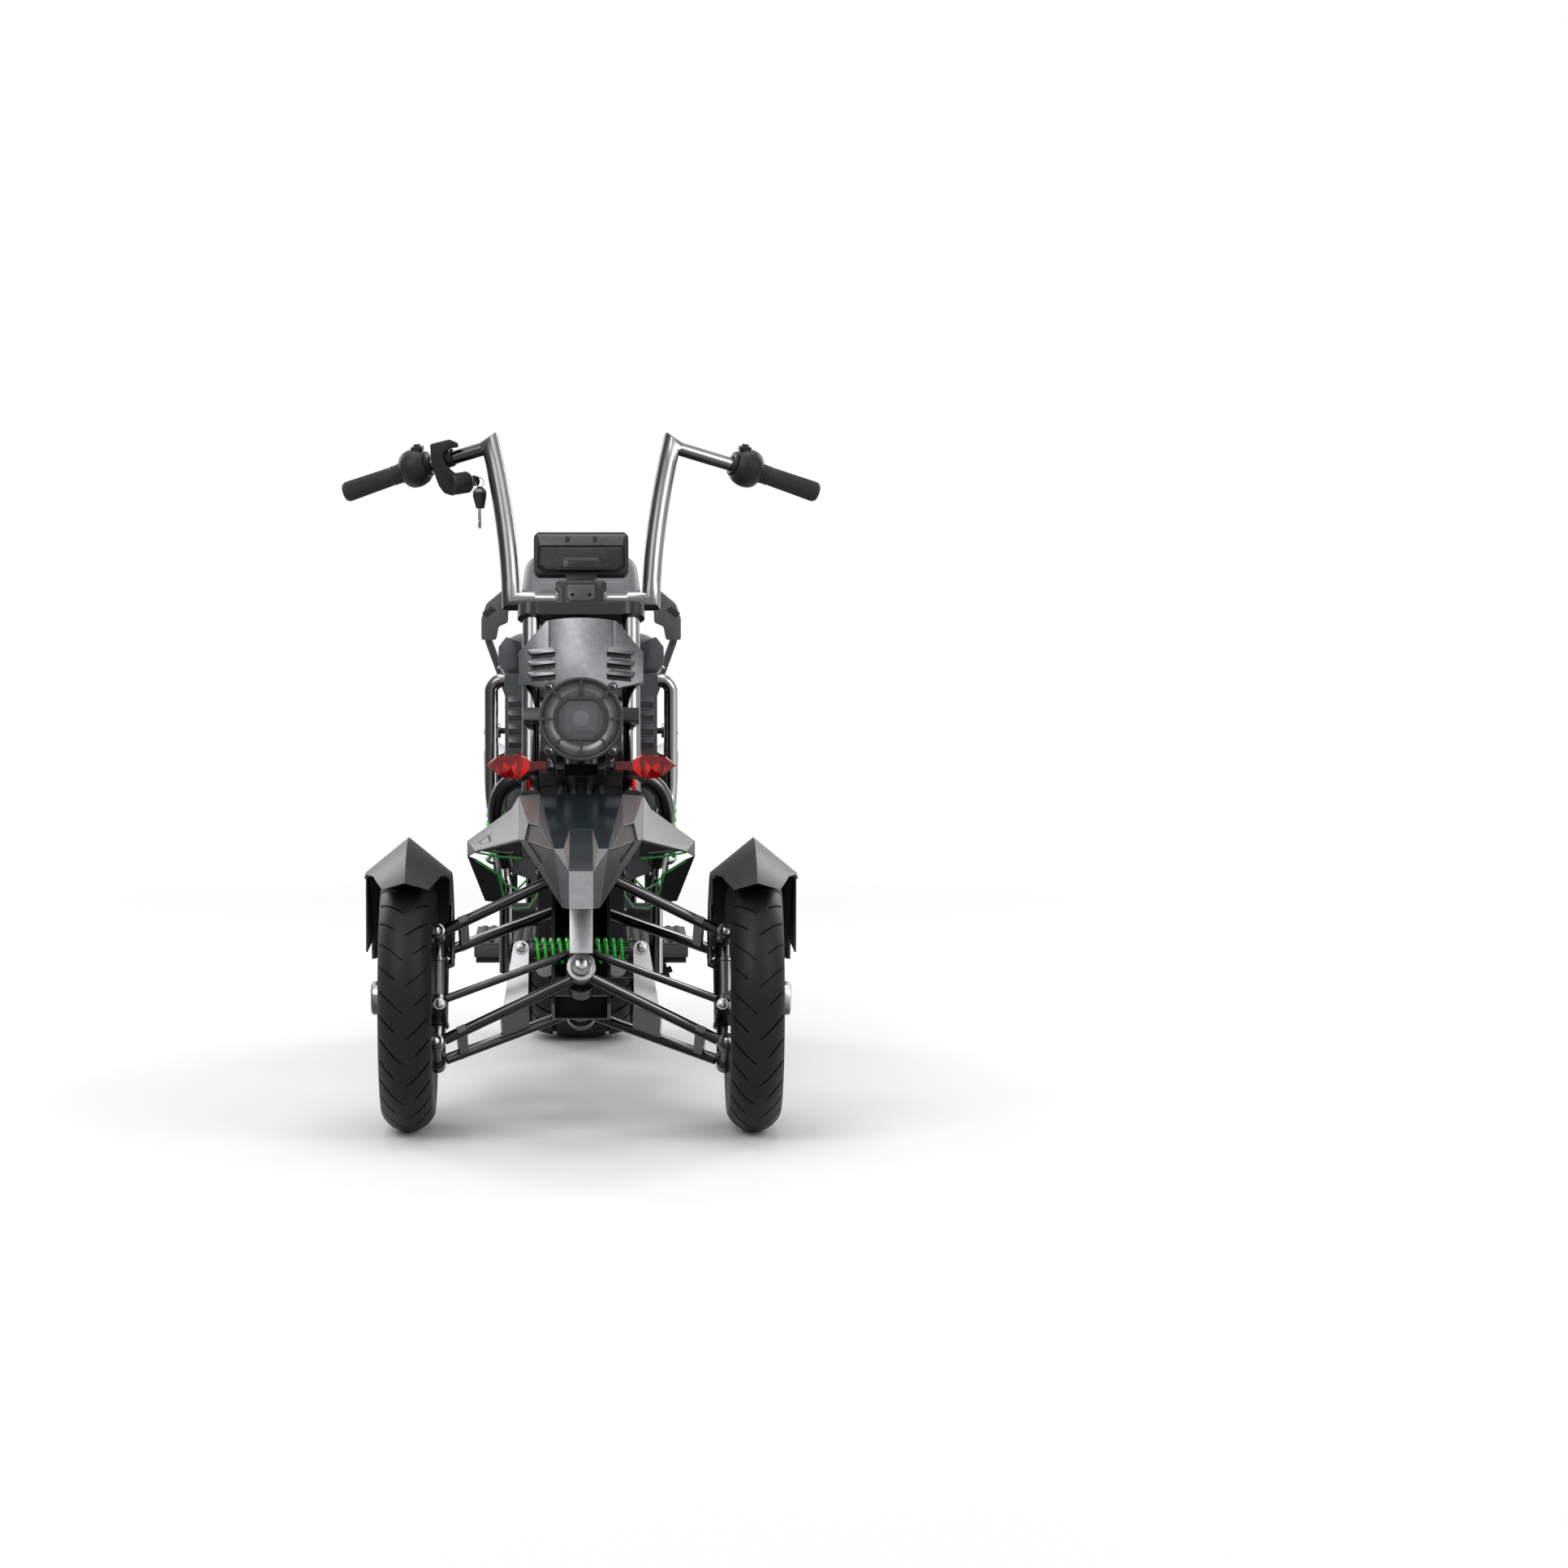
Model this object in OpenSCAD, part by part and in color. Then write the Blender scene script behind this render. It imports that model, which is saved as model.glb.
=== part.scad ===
// Electric tricycle with two steered front wheels on tilting double wishbones and one wide driven rear wheel.
// Front faces -Y, +X is the rider's left, +Z is up, and the ground is at z = 0.

/* [Overall] */
// Distance from the front axle to the rear axle
wheelbase = 1280; // [1150:10:1450]
// Distance between the middles of the front tyres
track = 603; // [560:1:680]
// Lean of the steering axis and of the whole wishbone set
rake = 26; // [22:0.5:28]
// How far the nose stands ahead of the front axle
nose_ahead = 262; // [250:1:290]

/* [Front wheels] */
// Outer diameter of a front tyre
front_tyre_d = 467; // [450:1:480]
// Section width of a front tyre
front_tyre_w = 92; // [80:1:100]
// Bead seat diameter of a front rim
front_bead_d = 305; // [296:1:315]
// Thickness of the rim barrel
rim_wall = 8; // [5:0.5:10]
// Number of spokes in a front rim
front_spokes = 5; // [3:1:7]
// Radius of the hub and its cap
hub_r = 30; // [26:1:34]
// How far the hub cap stands out from the tyre's middle plane
hub_out = 66; // [58:1:80]
// Radius of the front wheel spindle
spindle_r = 10; // [8:0.5:12]

/* [Rear wheel] */
// Outer diameter of the rear tyre
rear_tyre_d = 470; // [440:1:480]
// Section width of the rear tyre
rear_tyre_w = 222; // [200:1:230]
// Bead seat diameter of the rear wheel
rear_bead_d = 254; // [240:1:280]
// Radius of the hub motor
motor_r = 92; // [80:1:100]
// Radius of the rear axle
rear_axle_r = 9; // [8:0.5:11]

/* [Wishbones] */
// Distance of a kingpin inside its tyre's middle plane
kingpin_in = 49.5; // [46:0.5:54]
// Radius of the kingpin
kingpin_r = 11; // [9:0.5:13]
// Radius of the knuckle sleeve round the kingpin
sleeve_r = 20; // [18:0.5:22]
// Radius of a wishbone tube
arm_r = 9.5; // [8:0.5:11]
// Height of the upper ball joints above the front axle
ball_up = 100; // [95:1:103]
// Depth of the lower ball joints below the front axle
ball_down = 102; // [95:1:104]
// Half the spacing of the two ball joints on one wishbone
ball_y = 54; // [48:1:56]
// How far a wishbone climbs from its ball joints to the middle
arm_rise = 112; // [104:1:118]
// Radius of the wishbone pivot pins
pivot_r = 10; // [8:0.5:12]
// Coil diameter of the front spring
front_coil_d = 47; // [42:1:50]
// Half the distance between the eyes of the front damper
damper_x = 105; // [98:1:112]

/* [Steering] */
// Radius of the steering stem
stem_r = 14; // [12:0.5:16]
// Length of the steering arms and of the drop arm
steer_arm = 95; // [90:1:98]
// Radius of a tie rod
tie_r = 7; // [5:0.5:8]
// Distance of a fork tube from the middle
fork_x = 90; // [84:1:94]
// Radius of a fork tube
fork_r = 16; // [14:0.5:18]
// Radius of the thick riser tubes of the handlebar
riser_r = 17; // [14:0.5:18]
// Radius of the thin handlebar tube
bar_r = 12.5; // [11:0.5:14]
// Radius of a grip
grip_r = 19; // [16:0.5:20]
// Distance of a grip's end from the middle
grip_end_x = 440; // [415:1:460]
// Spacing of the two holes in the accessory plate
plate_hole_pitch = 31; // [28:0.5:34]
// Radius of the two holes in the accessory plate
plate_hole_r = 3; // [2:0.25:4]

/* [Lamps] */
// Radius of the headlight ring
headlight_r = 74.5; // [70:0.5:78]
// Number of spokes in the headlight grille
grille_spokes = 8; // [6:2:10]

/* [Body] */
// Width of the seat
seat_w = 300; // [260:1:320]
// Length of the seat
seat_l = 470; // [420:1:500]
// Width of the backrest
backrest_w = 258; // [230:1:290]
// Length of a footboard
footboard_l = 300; // [260:1:320]
// Width of a footboard
footboard_w = 112; // [100:1:116]
// Width of the battery case
battery_w = 158; // [140:1:160]

/* [Side stand] */
// Length of the side stand's leg
stand_l = 226; // [210:1:230]
// Radius of the side stand's leg
stand_r = 9; // [8:0.5:10]

/* [Hidden] */
$fn = 48;

// Clearances: running fit, and seat between still pieces
run_fit = 0.05;
seat_gap = 0.3;

// Places of the axles; y_shift puts the middle of the outline over the origin
front_r = front_tyre_d / 2;
rear_r = rear_tyre_d / 2;
wheel_x = track / 2;
kingpin_x = wheel_x - kingpin_in;
rear_fender_r = rear_r + 34;
rear_fender_wall = 6;
rear_fender_cut = 60;
tail_behind = sqrt(rear_fender_r * rear_fender_r - rear_fender_cut * rear_fender_cut);
y_shift = (nose_ahead - wheelbase - tail_behind) / 2;

// Raked frame: origin on the front axle, its z along the steering axis, its y along the wishbone pivots
function raked_y(p) = p.y * cos(rake) + p.z * sin(rake);
function raked_z(p) = front_r - p.y * sin(rake) + p.z * cos(rake);
function world(p) = [p.x, raked_y(p), raked_z(p)];
// Place along the steering axis at a height over the ground
function axis_at(h) = (h - front_r) / cos(rake);
// Distance of the steering axis behind the front axle at a height over the ground
function axis_y(h) = (h - front_r) * tan(rake);

module placed() translate([0, y_shift, 0]) children();
module raked() placed() translate([0, 0, front_r]) rotate([-rake, 0, 0]) children();
module both_sides() {
    children();
    mirror([1, 0, 0]) children();
}

// Straight bar between two points
module bar(a, b, r) {
    d = b - a;
    len = norm(d);
    translate(a) rotate([0, acos(d.z / len), atan2(d.y, d.x)]) cylinder(h = len, r = r);
}

// Bent tube through a list of points, with ball corners a little thicker than the tube
corner_swell = 0.5;
module bent_tube(pts, r) {
    for (i = [0 : len(pts) - 2]) bar(pts[i], pts[i + 1], r);
    for (i = [1 : len(pts) - 2]) translate(pts[i]) sphere(r = r + corner_swell);
}

// Cylinders along X and along Y, by their two ends
module round_x(x0, x1, r) translate([x0, 0, 0]) rotate([0, 90, 0]) cylinder(h = x1 - x0, r = r);
module round_y(y0, y1, r) translate([0, y0, 0]) rotate([-90, 0, 0]) cylinder(h = y1 - y0, r = r);

// Block by its two corners
module block(a, b) translate(a) cube(b - a);

// Flat outline in the X-Z plane, drawn out along Y
module plate_y(y0, y1) translate([0, y1, 0]) rotate([90, 0, 0]) linear_extrude(y1 - y0) children();

// Side outline in the Y-Z plane, drawn out along X
module plate_x(x0, x1) translate([x0, 0, 0]) rotate([90, 0, 90]) linear_extrude(x1 - x0) children();

// Coil spring along Z: a ring of coil_sides points swept along a helix
coil_sides = 6;
coil_steps = 14;
function coil_point(i, turns, height, r, wire, side) =
    let (a = 360 * i / coil_steps, b = 360 * side / coil_sides, q = r + wire * cos(b))
    [q * cos(a), q * sin(a), height * i / (turns * coil_steps) + wire * sin(b)];
module coil(turns, height, r, wire) {
    steps = turns * coil_steps;
    points = [for (i = [0 : steps], s = [0 : coil_sides - 1]) coil_point(i, turns, height, r, wire, s)];
    walls = [for (i = [0 : steps - 1], s = [0 : coil_sides - 1])
        let (n = (s + 1) % coil_sides)
        [i * coil_sides + s, (i + 1) * coil_sides + s, (i + 1) * coil_sides + n, i * coil_sides + n]];
    first = [[for (s = [0 : coil_sides - 1]) s]];
    last = [[for (s = [coil_sides - 1 : -1 : 0]) steps * coil_sides + s]];
    polyhedron(points, concat(walls, first, last), convexity = 8);
}

// Wishbone geometry in the raked frame
pivot_low = arm_rise - ball_down;
pivot_high = ball_up + arm_rise;
cup_r = 15;
cup_half = 12;
front_leg_y = -103;
rear_leg_y = 86;
leg_pitch = 12;
leg_sleeve = 11.4;
rear_sleeve_end = rear_leg_y + leg_pitch + leg_sleeve / 2 + seat_gap;
boss_front_r = 18;
boss_rear_r = 22;
barrel_r = 26;
plate_front_y = -122;
plate_end_r = 25;
plate_t = 8;
cross_y = -34;
cross_half = 17;
rear_plate_y = 52;
side_plate_x = 46;
side_plate_t = 6;
spring_y = -46;
spring_z = 71;
lever_y = -55;
lever_t = 5;
tie_inner_x = 12;
tie_outer_in = 8;
drop_arm_z = 33;
drop_arm_t = 6;
tie_boss_t = 4;
tie_boss_r = 8;
tie_eye_t = 8;
tie_outer_z = -39;
tie_bolt_r = 4;
tie_eye_r = 11;
sleeve_low = -55;
sleeve_high = 70;

// Front structure

module front_column() color("silver") raked() {
    difference() {
        union() {
            both_sides() block([side_plate_x, cross_y + plate_t, -20], [side_plate_x + side_plate_t, rear_plate_y, 330]);
            block([-side_plate_x - side_plate_t, rear_plate_y, -20], [side_plate_x + side_plate_t, rear_plate_y + plate_t, 330]);
            for (z = [pivot_low, pivot_high])
                block([-side_plate_x - side_plate_t, cross_y, z - cross_half], [side_plate_x + side_plate_t, cross_y + plate_t, z + cross_half]);
        }
        translate([0, 0, 150]) round_x(-80, 80, 16);
        translate([0, spring_y, spring_z]) round_x(-80, 80, front_coil_d / 2 + 5);
    }
    for (z = [pivot_low, pivot_high]) translate([0, 0, z]) {
        round_y(plate_front_y, cross_y + 1, pivot_r);
        round_y(rear_plate_y + plate_t - 1, rear_sleeve_end + 8, pivot_r);
        round_y(rear_sleeve_end, rear_sleeve_end + 8, boss_rear_r);
    }
    translate([0, 0, pivot_low]) {
        difference() {
            round_y(-74, cross_y + 1, barrel_r);
            block([-30, -80, drop_arm_z - pivot_low - 6], [30, 0, 40]);
        }
        round_y(rear_sleeve_end + 4, rear_sleeve_end + 26, barrel_r);
    }
    plate_y(plate_front_y - plate_t, plate_front_y) {
        translate([-21, pivot_low]) square([42, pivot_high - pivot_low]);
        for (z = [pivot_low, pivot_high]) translate([0, z]) circle(r = plate_end_r);
    }
    translate([0, 0, pivot_low]) round_y(plate_front_y - plate_t - 6, plate_front_y, boss_front_r);
    translate([0, 0, pivot_low]) round_y(plate_front_y - plate_t - 14, plate_front_y, pivot_r);
}

// One wishbone on the +X side: two tubes from sleeves on the pins to the ball joint cups, with an end plate
module wishbone(low, slot) {
    z_in = low ? pivot_low : pivot_high;
    z_out = z_in - arm_rise;
    legs = [[front_leg_y + slot * leg_pitch, -ball_y, boss_front_r], [rear_leg_y - slot * leg_pitch + leg_pitch, ball_y, boss_rear_r]];
    cup_in = kingpin_x - cup_r - seat_gap;
    for (leg = legs) {
        inner = [0, leg[0], z_in];
        outer = [cup_in, leg[1], z_out + arm_rise * cup_r / kingpin_x];
        difference() {
            union() {
                bar(inner, outer, arm_r);
                translate([0, leg[0], z_in]) round_y(-leg_sleeve / 2, leg_sleeve / 2, leg[2]);
            }
            translate([0, leg[0], z_in]) round_y(-40, 40, pivot_r + run_fit);
            other = leg[0] + (slot == 0 ? leg_pitch : -leg_pitch) * (leg[0] < 0 ? 1 : -1);
            translate([0, other, z_in]) round_y(-leg_pitch / 2, leg_pitch / 2, leg[2] + seat_gap);
            translate([0, 0, z_in]) round_y(rear_sleeve_end - seat_gap, rear_sleeve_end + 20, boss_rear_r + seat_gap);
        }
    }
    at = 0.82;
    z_at = z_in - arm_rise * at;
    translate([kingpin_x * at, 0, z_at]) rotate([0, atan(arm_rise / kingpin_x), 0])
        block([-8, -ball_y - 20, -6], [8, ball_y + 18, 6]);
    if (low) {
        mid = 0.46;
        translate([kingpin_x * mid, 0, z_in - arm_rise * mid]) rotate([0, atan(arm_rise / kingpin_x), 0])
            block([-26, lever_y, -4], [26, ball_y + 14, 4]);
    }
}

module upper_arms() color("dimgray") raked() {
    wishbone(false, 0);
    mirror([1, 0, 0]) wishbone(false, 1);
}

module lower_arms() color("dimgray") raked() {
    wishbone(true, 0);
    mirror([1, 0, 0]) wishbone(true, 1);
}

// Uprights: kingpin with a ball joint carrier above and below
module uprights() color("dimgray") raked() both_sides() translate([kingpin_x, 0, 0]) {
    translate([0, 0, -ball_down]) cylinder(h = ball_up + ball_down, r = kingpin_r);
    for (z = [ball_up, -ball_down]) translate([0, 0, z]) {
        round_y(-ball_y, ball_y, 9);
        for (y = [-ball_y, ball_y]) translate([0, y, 0]) {
            round_y(-cup_half, cup_half, cup_r);
            translate([0, -cup_half, 0]) sphere(r = 9);
        }
    }
    translate([0, 0, sleeve_high + seat_gap]) cylinder(h = ball_up - sleeve_high - seat_gap, r = kingpin_r + 5);
    translate([0, 0, -ball_down]) cylinder(h = ball_down + sleeve_low - seat_gap, r = kingpin_r + 5);
}

// Levers stand on the lower wishbones and press the horizontal spring
module spring_levers() color("silver") raked() both_sides() plate_y(lever_y - lever_t - seat_gap, lever_y - seat_gap) {
    difference() {
        union() {
            translate([damper_x, spring_z]) circle(r = 14);
            polygon([[damper_x - 14, spring_z], [damper_x + 14, spring_z], [138, -54], [92, -34]]);
        }
        translate([damper_x, spring_z]) circle(r = 5 + run_fit);
    }
}

front_coil_wire = 3.4;
front_coil_turns = 12;
front_coil_half = 80;
// Rear shock: foot and head in the upright frame
shock_x = 172;
shock_foot = [shock_x, wheelbase - 30, 330];
shock_head = [shock_x, wheelbase - 220, 640];
shock_coil_r = 17;
shock_wire = 4;
shock_turns = 8;
shock_coil_l = 175;
module along(a, b) {
    d = b - a;
    translate(a) rotate([0, acos(d.z / norm(d)), atan2(d.y, d.x)]) children();
}

module springs() color("limegreen") {
    raked() translate([-front_coil_half, spring_y, spring_z]) rotate([0, 90, 0])
        coil(front_coil_turns, 2 * front_coil_half, front_coil_d / 2 - front_coil_wire, front_coil_wire);
    placed() both_sides() along(shock_foot, shock_head) translate([0, 0, 60])
        coil(shock_turns, shock_coil_l, shock_coil_r, shock_wire);
}

module dampers() color("dimgray") {
    raked() translate([0, spring_y, spring_z]) {
        round_x(-front_coil_half - 8, 30, 13);
        round_x(-damper_x, damper_x, 7);
        both_sides() translate([damper_x, 0, 0]) round_y(lever_y - spring_y, 12, 12);
        both_sides() translate([damper_x, 0, 0]) round_y(lever_y - spring_y - lever_t - 6, 12, 5);
        both_sides() round_x(front_coil_half + front_coil_wire + seat_gap, front_coil_half + 9, front_coil_d / 2);
    }
    placed() both_sides() {
        along(shock_foot, shock_head) {
            translate([0, 0, 13]) cylinder(h = norm(shock_head - shock_foot) - 26, r = 7);
            translate([0, 0, 60 - shock_wire - 8]) cylinder(h = 8 - seat_gap, r = shock_coil_r + 6);
            translate([0, 0, 60 + shock_coil_l + shock_wire + seat_gap]) cylinder(h = 80, r = shock_coil_r + 5);
        }
        difference() {
            for (p = [shock_foot, shock_head]) translate(p) round_x(-12, 12, 14);
            for (p = [shock_foot, shock_head]) translate(p) round_x(-20, 20, 6 + run_fit);
        }
    }
}

// Nose: a faceted beak, open below and behind
nose_tip_y = -nose_ahead;
// Columns: half width, distance behind the front axle, height
nose_pts = [[110, 100, 581], [73, 100, 584], [47, -190, 512], [20.5, nose_tip_y, 480], [20.5, nose_tip_y, 416],
    [32, 10 - nose_ahead, 417], [107, -60, 516], [100, 60, 503]];
module beak(s) {
    c = [0, -30, 470];
    hull() for (p = nose_pts, m = [-1, 1]) translate(c + [m * p.x * s, (p.y - c.y) * s, (p.z - c.z) * s])
        cube(0.01, center = true);
}
// Outline of the recessed lens on one side of the beak, seen from ahead: half width and height
lens_outline = [[92, 543], [72, 541], [56, 511], [72, 480], [97, 516]];
module lens_prism(grow) both_sides() plate_y(-300, 22) offset(delta = grow) polygon(lens_outline);
module nose_fairing() color("dimgray") {
    placed() difference() {
        beak(1);
        translate([0, 12, -10]) beak(0.93);
        block([-150, -60, 380], [150, 140, 505]);
        difference() {
            lens_prism(0);
            beak(0.965);
        }
    }
    intersection() {
        placed() beak(0.99);
        raked() block([-14, plate_front_y - plate_t, pivot_high + plate_end_r + seat_gap], [14, plate_front_y, pivot_high + 140]);
    }
}

// Wings beside the beak: columns half width, place behind the front axle, height
wing_front = [[125, 90, 558], [202, 110, 500], [186, 60, 487], [107.8, -50, 519], [110.4, 92, 577]];
wing_low = [[202, 110, 473], [186, 60, 480], [169, 84, 396], [128, 70, 410]];
module nose_wings() color("gray") placed() both_sides() {
    hull() for (p = wing_front, d = [0, 8]) translate([p.x, p.y + d, p.z]) cube(0.01, center = true);
    hull() for (p = [wing_front[1], wing_front[2], wing_low[0], wing_low[2]], d = [0, 7])
        translate([p.x - d, p.y + d, p.z]) cube(0.01, center = true);
}

module nose_lenses() color("saddlebrown") placed() difference() {
    intersection() {
        beak(0.985);
        lens_prism(-seat_gap);
    }
    beak(0.967);
    block([-40, -400, 300], [40, 200, 700]);
}

// Frame tubes, all in the upright frame
frame_r = 16;
head_low = 428;
head_high = 690;
floor_z = 248;
rail_x = 66;
swing_pivot = [0, wheelbase - 350, 289];
swing_pin_r = 12;
stand_pivot = [150, 470, 224];
stand_tilt = 21.4;
stand_pin_r = 6;
module main_frame() color("black") raked() difference() {
    union() {
        translate([0, 0, head_low]) cylinder(h = head_high - head_low, r = 27);
        both_sides() bar([20, 24, 480], [40, rear_plate_y + 22, 285], 13);
        block([-18, 16, 560], [18, 60, 660]);
        translate([0, loop_at.y, loop_at.z]) round_x(-loop_at.x, loop_at.x, 18);
    }
    translate([0, 0, head_low - 1]) cylinder(h = head_high - head_low + 2, r = stem_r + run_fit);
    block([-100, rear_plate_y - 40, 200], [100, rear_plate_y + plate_t + seat_gap, 330 + seat_gap]);
}

// Floor rails from the column back to the swingarm, with cross tubes under the footboards
module floor_frame() color("black") difference() {
    placed() {
        both_sides() bent_tube([world([34, rear_plate_y, 100]), [rail_x, 330, floor_z], [rail_x, swing_pivot.y - 50, floor_z],
            [rail_x, swing_pivot.y + 60, 340], [rail_x, seat_cross_y, 640], [rail_x, seat_cross_y, seat_rail_z - seat_cross_r - seat_gap]], frame_r);
        for (y = [500, 640]) translate([0, y, floor_z]) round_x(-196, 196, 9);
        translate(swing_pivot) round_x(-148, 148, swing_pin_r);
        translate([0, stand_pivot.y, stand_pivot.z]) round_x(20, stand_pivot.x - 16, 10);
        translate(stand_pivot) rotate([0, -stand_tilt, 0]) round_x(-26, 20, stand_pin_r);
        translate([0, shock_head.y, shock_head.z]) round_x(-shock_x - 14, shock_x + 14, 6);
    }
    raked() block([-100, rear_plate_y - 40, 0], [100, rear_plate_y + plate_t + seat_gap, 340]);
}

// Seat rails from the head tube to the tail, with posts for the backrest
seat_rail_z = 705;
seat_rail_r = 13;
seat_cross_y = wheelbase - 220;
seat_cross_r = 11;
tail_y = wheelbase + 50;
post_x = 60;
post_r = 9;
post_top = [post_x, wheelbase + 4, 862];
tank_floor_z = 742;
module backrest_posts(r) both_sides() bar([post_x, tail_y, seat_rail_z], post_top, r);
module seat_frame() color("black") difference() {
    placed() {
        both_sides() bent_tube([world([14, 60, 610]), [40, 520, seat_rail_z], [96, seat_cross_y - 200, seat_rail_z], [96, tail_y, seat_rail_z]], seat_rail_r);
        translate([0, tail_y, seat_rail_z]) round_x(-96, 96, seat_rail_r);
        translate([0, seat_cross_y, seat_rail_z]) round_x(-96, 96, seat_cross_r);
        block([-50, tank_end - 148, seat_rail_z], [50, tank_end - 118, tank_floor_z - seat_gap]);
        backrest_posts(post_r);
    }
    raked() block([-60, 0, 500], [60, 60 + seat_gap, 700]);
}

// Battery: the heavy block between the rider's legs
module battery_case() color("darkslategray") placed()
{
    block([-battery_w / 2, 440, floor_z + frame_r + seat_gap], [battery_w / 2, swing_pivot.y - 100, 640]);
    block([-132, shield_y + shield_t + seat_gap, 420], [132, 446, 640]);
}

// Leg shield: two louvred panels ahead of the battery
shield_y = 412;
shield_t = 16;
shield_half = 140;
slot_first = 646;
slot_pitch = 25;
slot_count = 4;
module leg_shield() color("lightslategray") placed() both_sides() difference() {
    plate_y(shield_y, shield_y + shield_t) polygon([[84, 782], [shield_half, 782], [shield_half, 420], [84, 400]]);
    for (i = [0 : slot_count - 1]) block([104, shield_y - 1, slot_first + i * slot_pitch], [132, shield_y + 10, slot_first + i * slot_pitch + 9]);
}

// Tank cover in front of the seat
module tank_cover() color("lightslategray") placed() difference() {
    hull() {
        translate([0, 442, 812]) rotate([-90, 0, 0]) cylinder(h = 20, r = 62, $fn = 32);
        for (m = [-1, 1]) translate([m * 104, 486, 806]) sphere(r = 50, $fn = 24);
        for (m = [-1, 1]) translate([m * 84, tank_end - 46, 784]) sphere(r = 46, $fn = 24);
    }
    block([-70, 300, 600], [70, 800, tank_floor_z]);
    block([-36, 300, tank_floor_z - 2], [36, 560, tank_floor_z + 33]);
}

// Chrome guard tubes beside the leg shield
guard_r = 12.5;
guard_x = 165;
guard_y = shield_y + shield_t / 2;
guard_low_x = rail_x + frame_r + guard_r + seat_gap;
loop_r = 15;
loop_at = [50, 62, 438];
module guard_tubes() color("whitesmoke") placed() both_sides() {
    bent_tube([[shield_half + seat_gap, guard_y, 770], [guard_x - 10, guard_y, 770], [guard_x, guard_y, 756], [guard_x, guard_y, 560],
        [guard_x - 16, 380, 470], [guard_low_x, 340, 400], [guard_low_x, 352, floor_z - 10]], guard_r);
    start = world(loop_at);
    bent_tube([start + [seat_gap, 0, 0], [112, start.y, start.z], [146, start.y + 4, start.z - 18], [152, start.y + 14, start.z - 60],
        [136, 300, 440]], loop_r);
}

module footboards() color("dimgray") placed() both_sides()
    translate([86, 430, floor_z + 9 + seat_gap]) cube([footboard_w, footboard_l, 26]);

module rear_lamps() color("red") placed() {
    both_sides() translate([150, 430 + footboard_l + seat_gap, 262]) cube([48, 14, 18]);
    difference() {
        block([-60, wheelbase + 165, rear_r + 150], [60, wheelbase + 250, rear_r + 204]);
        translate([0, wheelbase, rear_r]) round_x(-70, 70, rear_fender_r + seat_gap);
    }
}

seat_front_y = wheelbase - 38 - seat_l;
tank_end = seat_front_y - 14;
seat_low = seat_rail_z + 13 + seat_gap;
module seat() color("darkslategray") placed() hull() {
    for (m = [-1, 1]) {
        translate([m * (seat_w / 2 - 45), seat_front_y + 45, seat_low + 45]) sphere(r = 45, $fn = 24);
        translate([m * (seat_w / 2 - 45), seat_front_y + seat_l - 45, seat_low + 45]) sphere(r = 45, $fn = 24);
    }
}

module backrest() color("darkslategray") placed() difference() {
    hull() for (m = [-1, 1]) {
        translate([m * (backrest_w / 2 - 38), wheelbase - 10, 870]) sphere(r = 38, $fn = 24);
        translate([m * (backrest_w / 2 - 46), wheelbase + 26, 948]) sphere(r = 36, $fn = 24);
    }
    backrest_posts(post_r + seat_gap);
}

// Grab handles: flat winged bars from the seat rails up beside the backrest
grab_t = 26;
grab_pts = [[150, wheelbase + 40, seat_rail_z], [192, wheelbase - 8, 800], [197, wheelbase - 30, 838], [156, wheelbase - 44, 908], [134, wheelbase - 6, 912]];
module grab_joint(p) translate([p.x - 5, p.y - grab_t / 2, p.z - 8]) cube([10, grab_t, 16]);
module grab_handles() color("dimgray") placed() both_sides() {
    translate([0, wheelbase + 38, seat_rail_z]) round_x(96 + seat_rail_r + seat_gap, 152, 11);
    for (i = [0 : len(grab_pts) - 2]) hull() {
        grab_joint(grab_pts[i]);
        grab_joint(grab_pts[i + 1]);
    }
}

module rear_fender() color("dimgray") placed() {
    translate([0, wheelbase, rear_r]) rotate([90, 0, 90]) translate([0, 0, -100]) difference() {
        cylinder(h = 200, r = rear_fender_r);
        translate([0, 0, -1]) cylinder(h = 202, r = rear_fender_r - rear_fender_wall);
        translate([-400, -400, -1]) cube([800, 400 + rear_fender_cut, 202]);
    }
    both_sides() bent_tube([[90, wheelbase + 4, rear_fender_r + rear_r - 3], [swing_x, wheelbase + 4, rear_fender_r + rear_r - 3],
        [swing_x, wheelbase + 4, rear_r + swing_end_r + seat_gap]], 6);
}

swing_x = 136;
swing_r = 16;
swing_end_r = 26;
module swingarm() color("black") placed() difference() {
    union() {
        both_sides() bar([swing_x, swing_pivot.y, swing_pivot.z], [swing_x, wheelbase, rear_r], swing_r);
        both_sides() translate([swing_x, wheelbase, rear_r]) round_x(-9, 9, swing_end_r);
        both_sides() translate([0, swing_pivot.y, swing_pivot.z]) round_x(rail_x + frame_r + 2, 146, 20);
        translate([0, swing_pivot.y + 80, 273]) round_x(-swing_x, swing_x, 11);
        both_sides() bar([swing_x + 6, shock_foot.y, 245], [swing_x + 8, shock_foot.y, shock_foot.z], 11);
        both_sides() translate(shock_foot) round_x(swing_x - shock_x, 14, 6);
    }
    translate(swing_pivot) round_x(-200, 200, swing_pin_r + run_fit);
    translate([0, wheelbase, rear_r]) round_x(-200, 200, rear_axle_r + run_fit);
}

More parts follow.
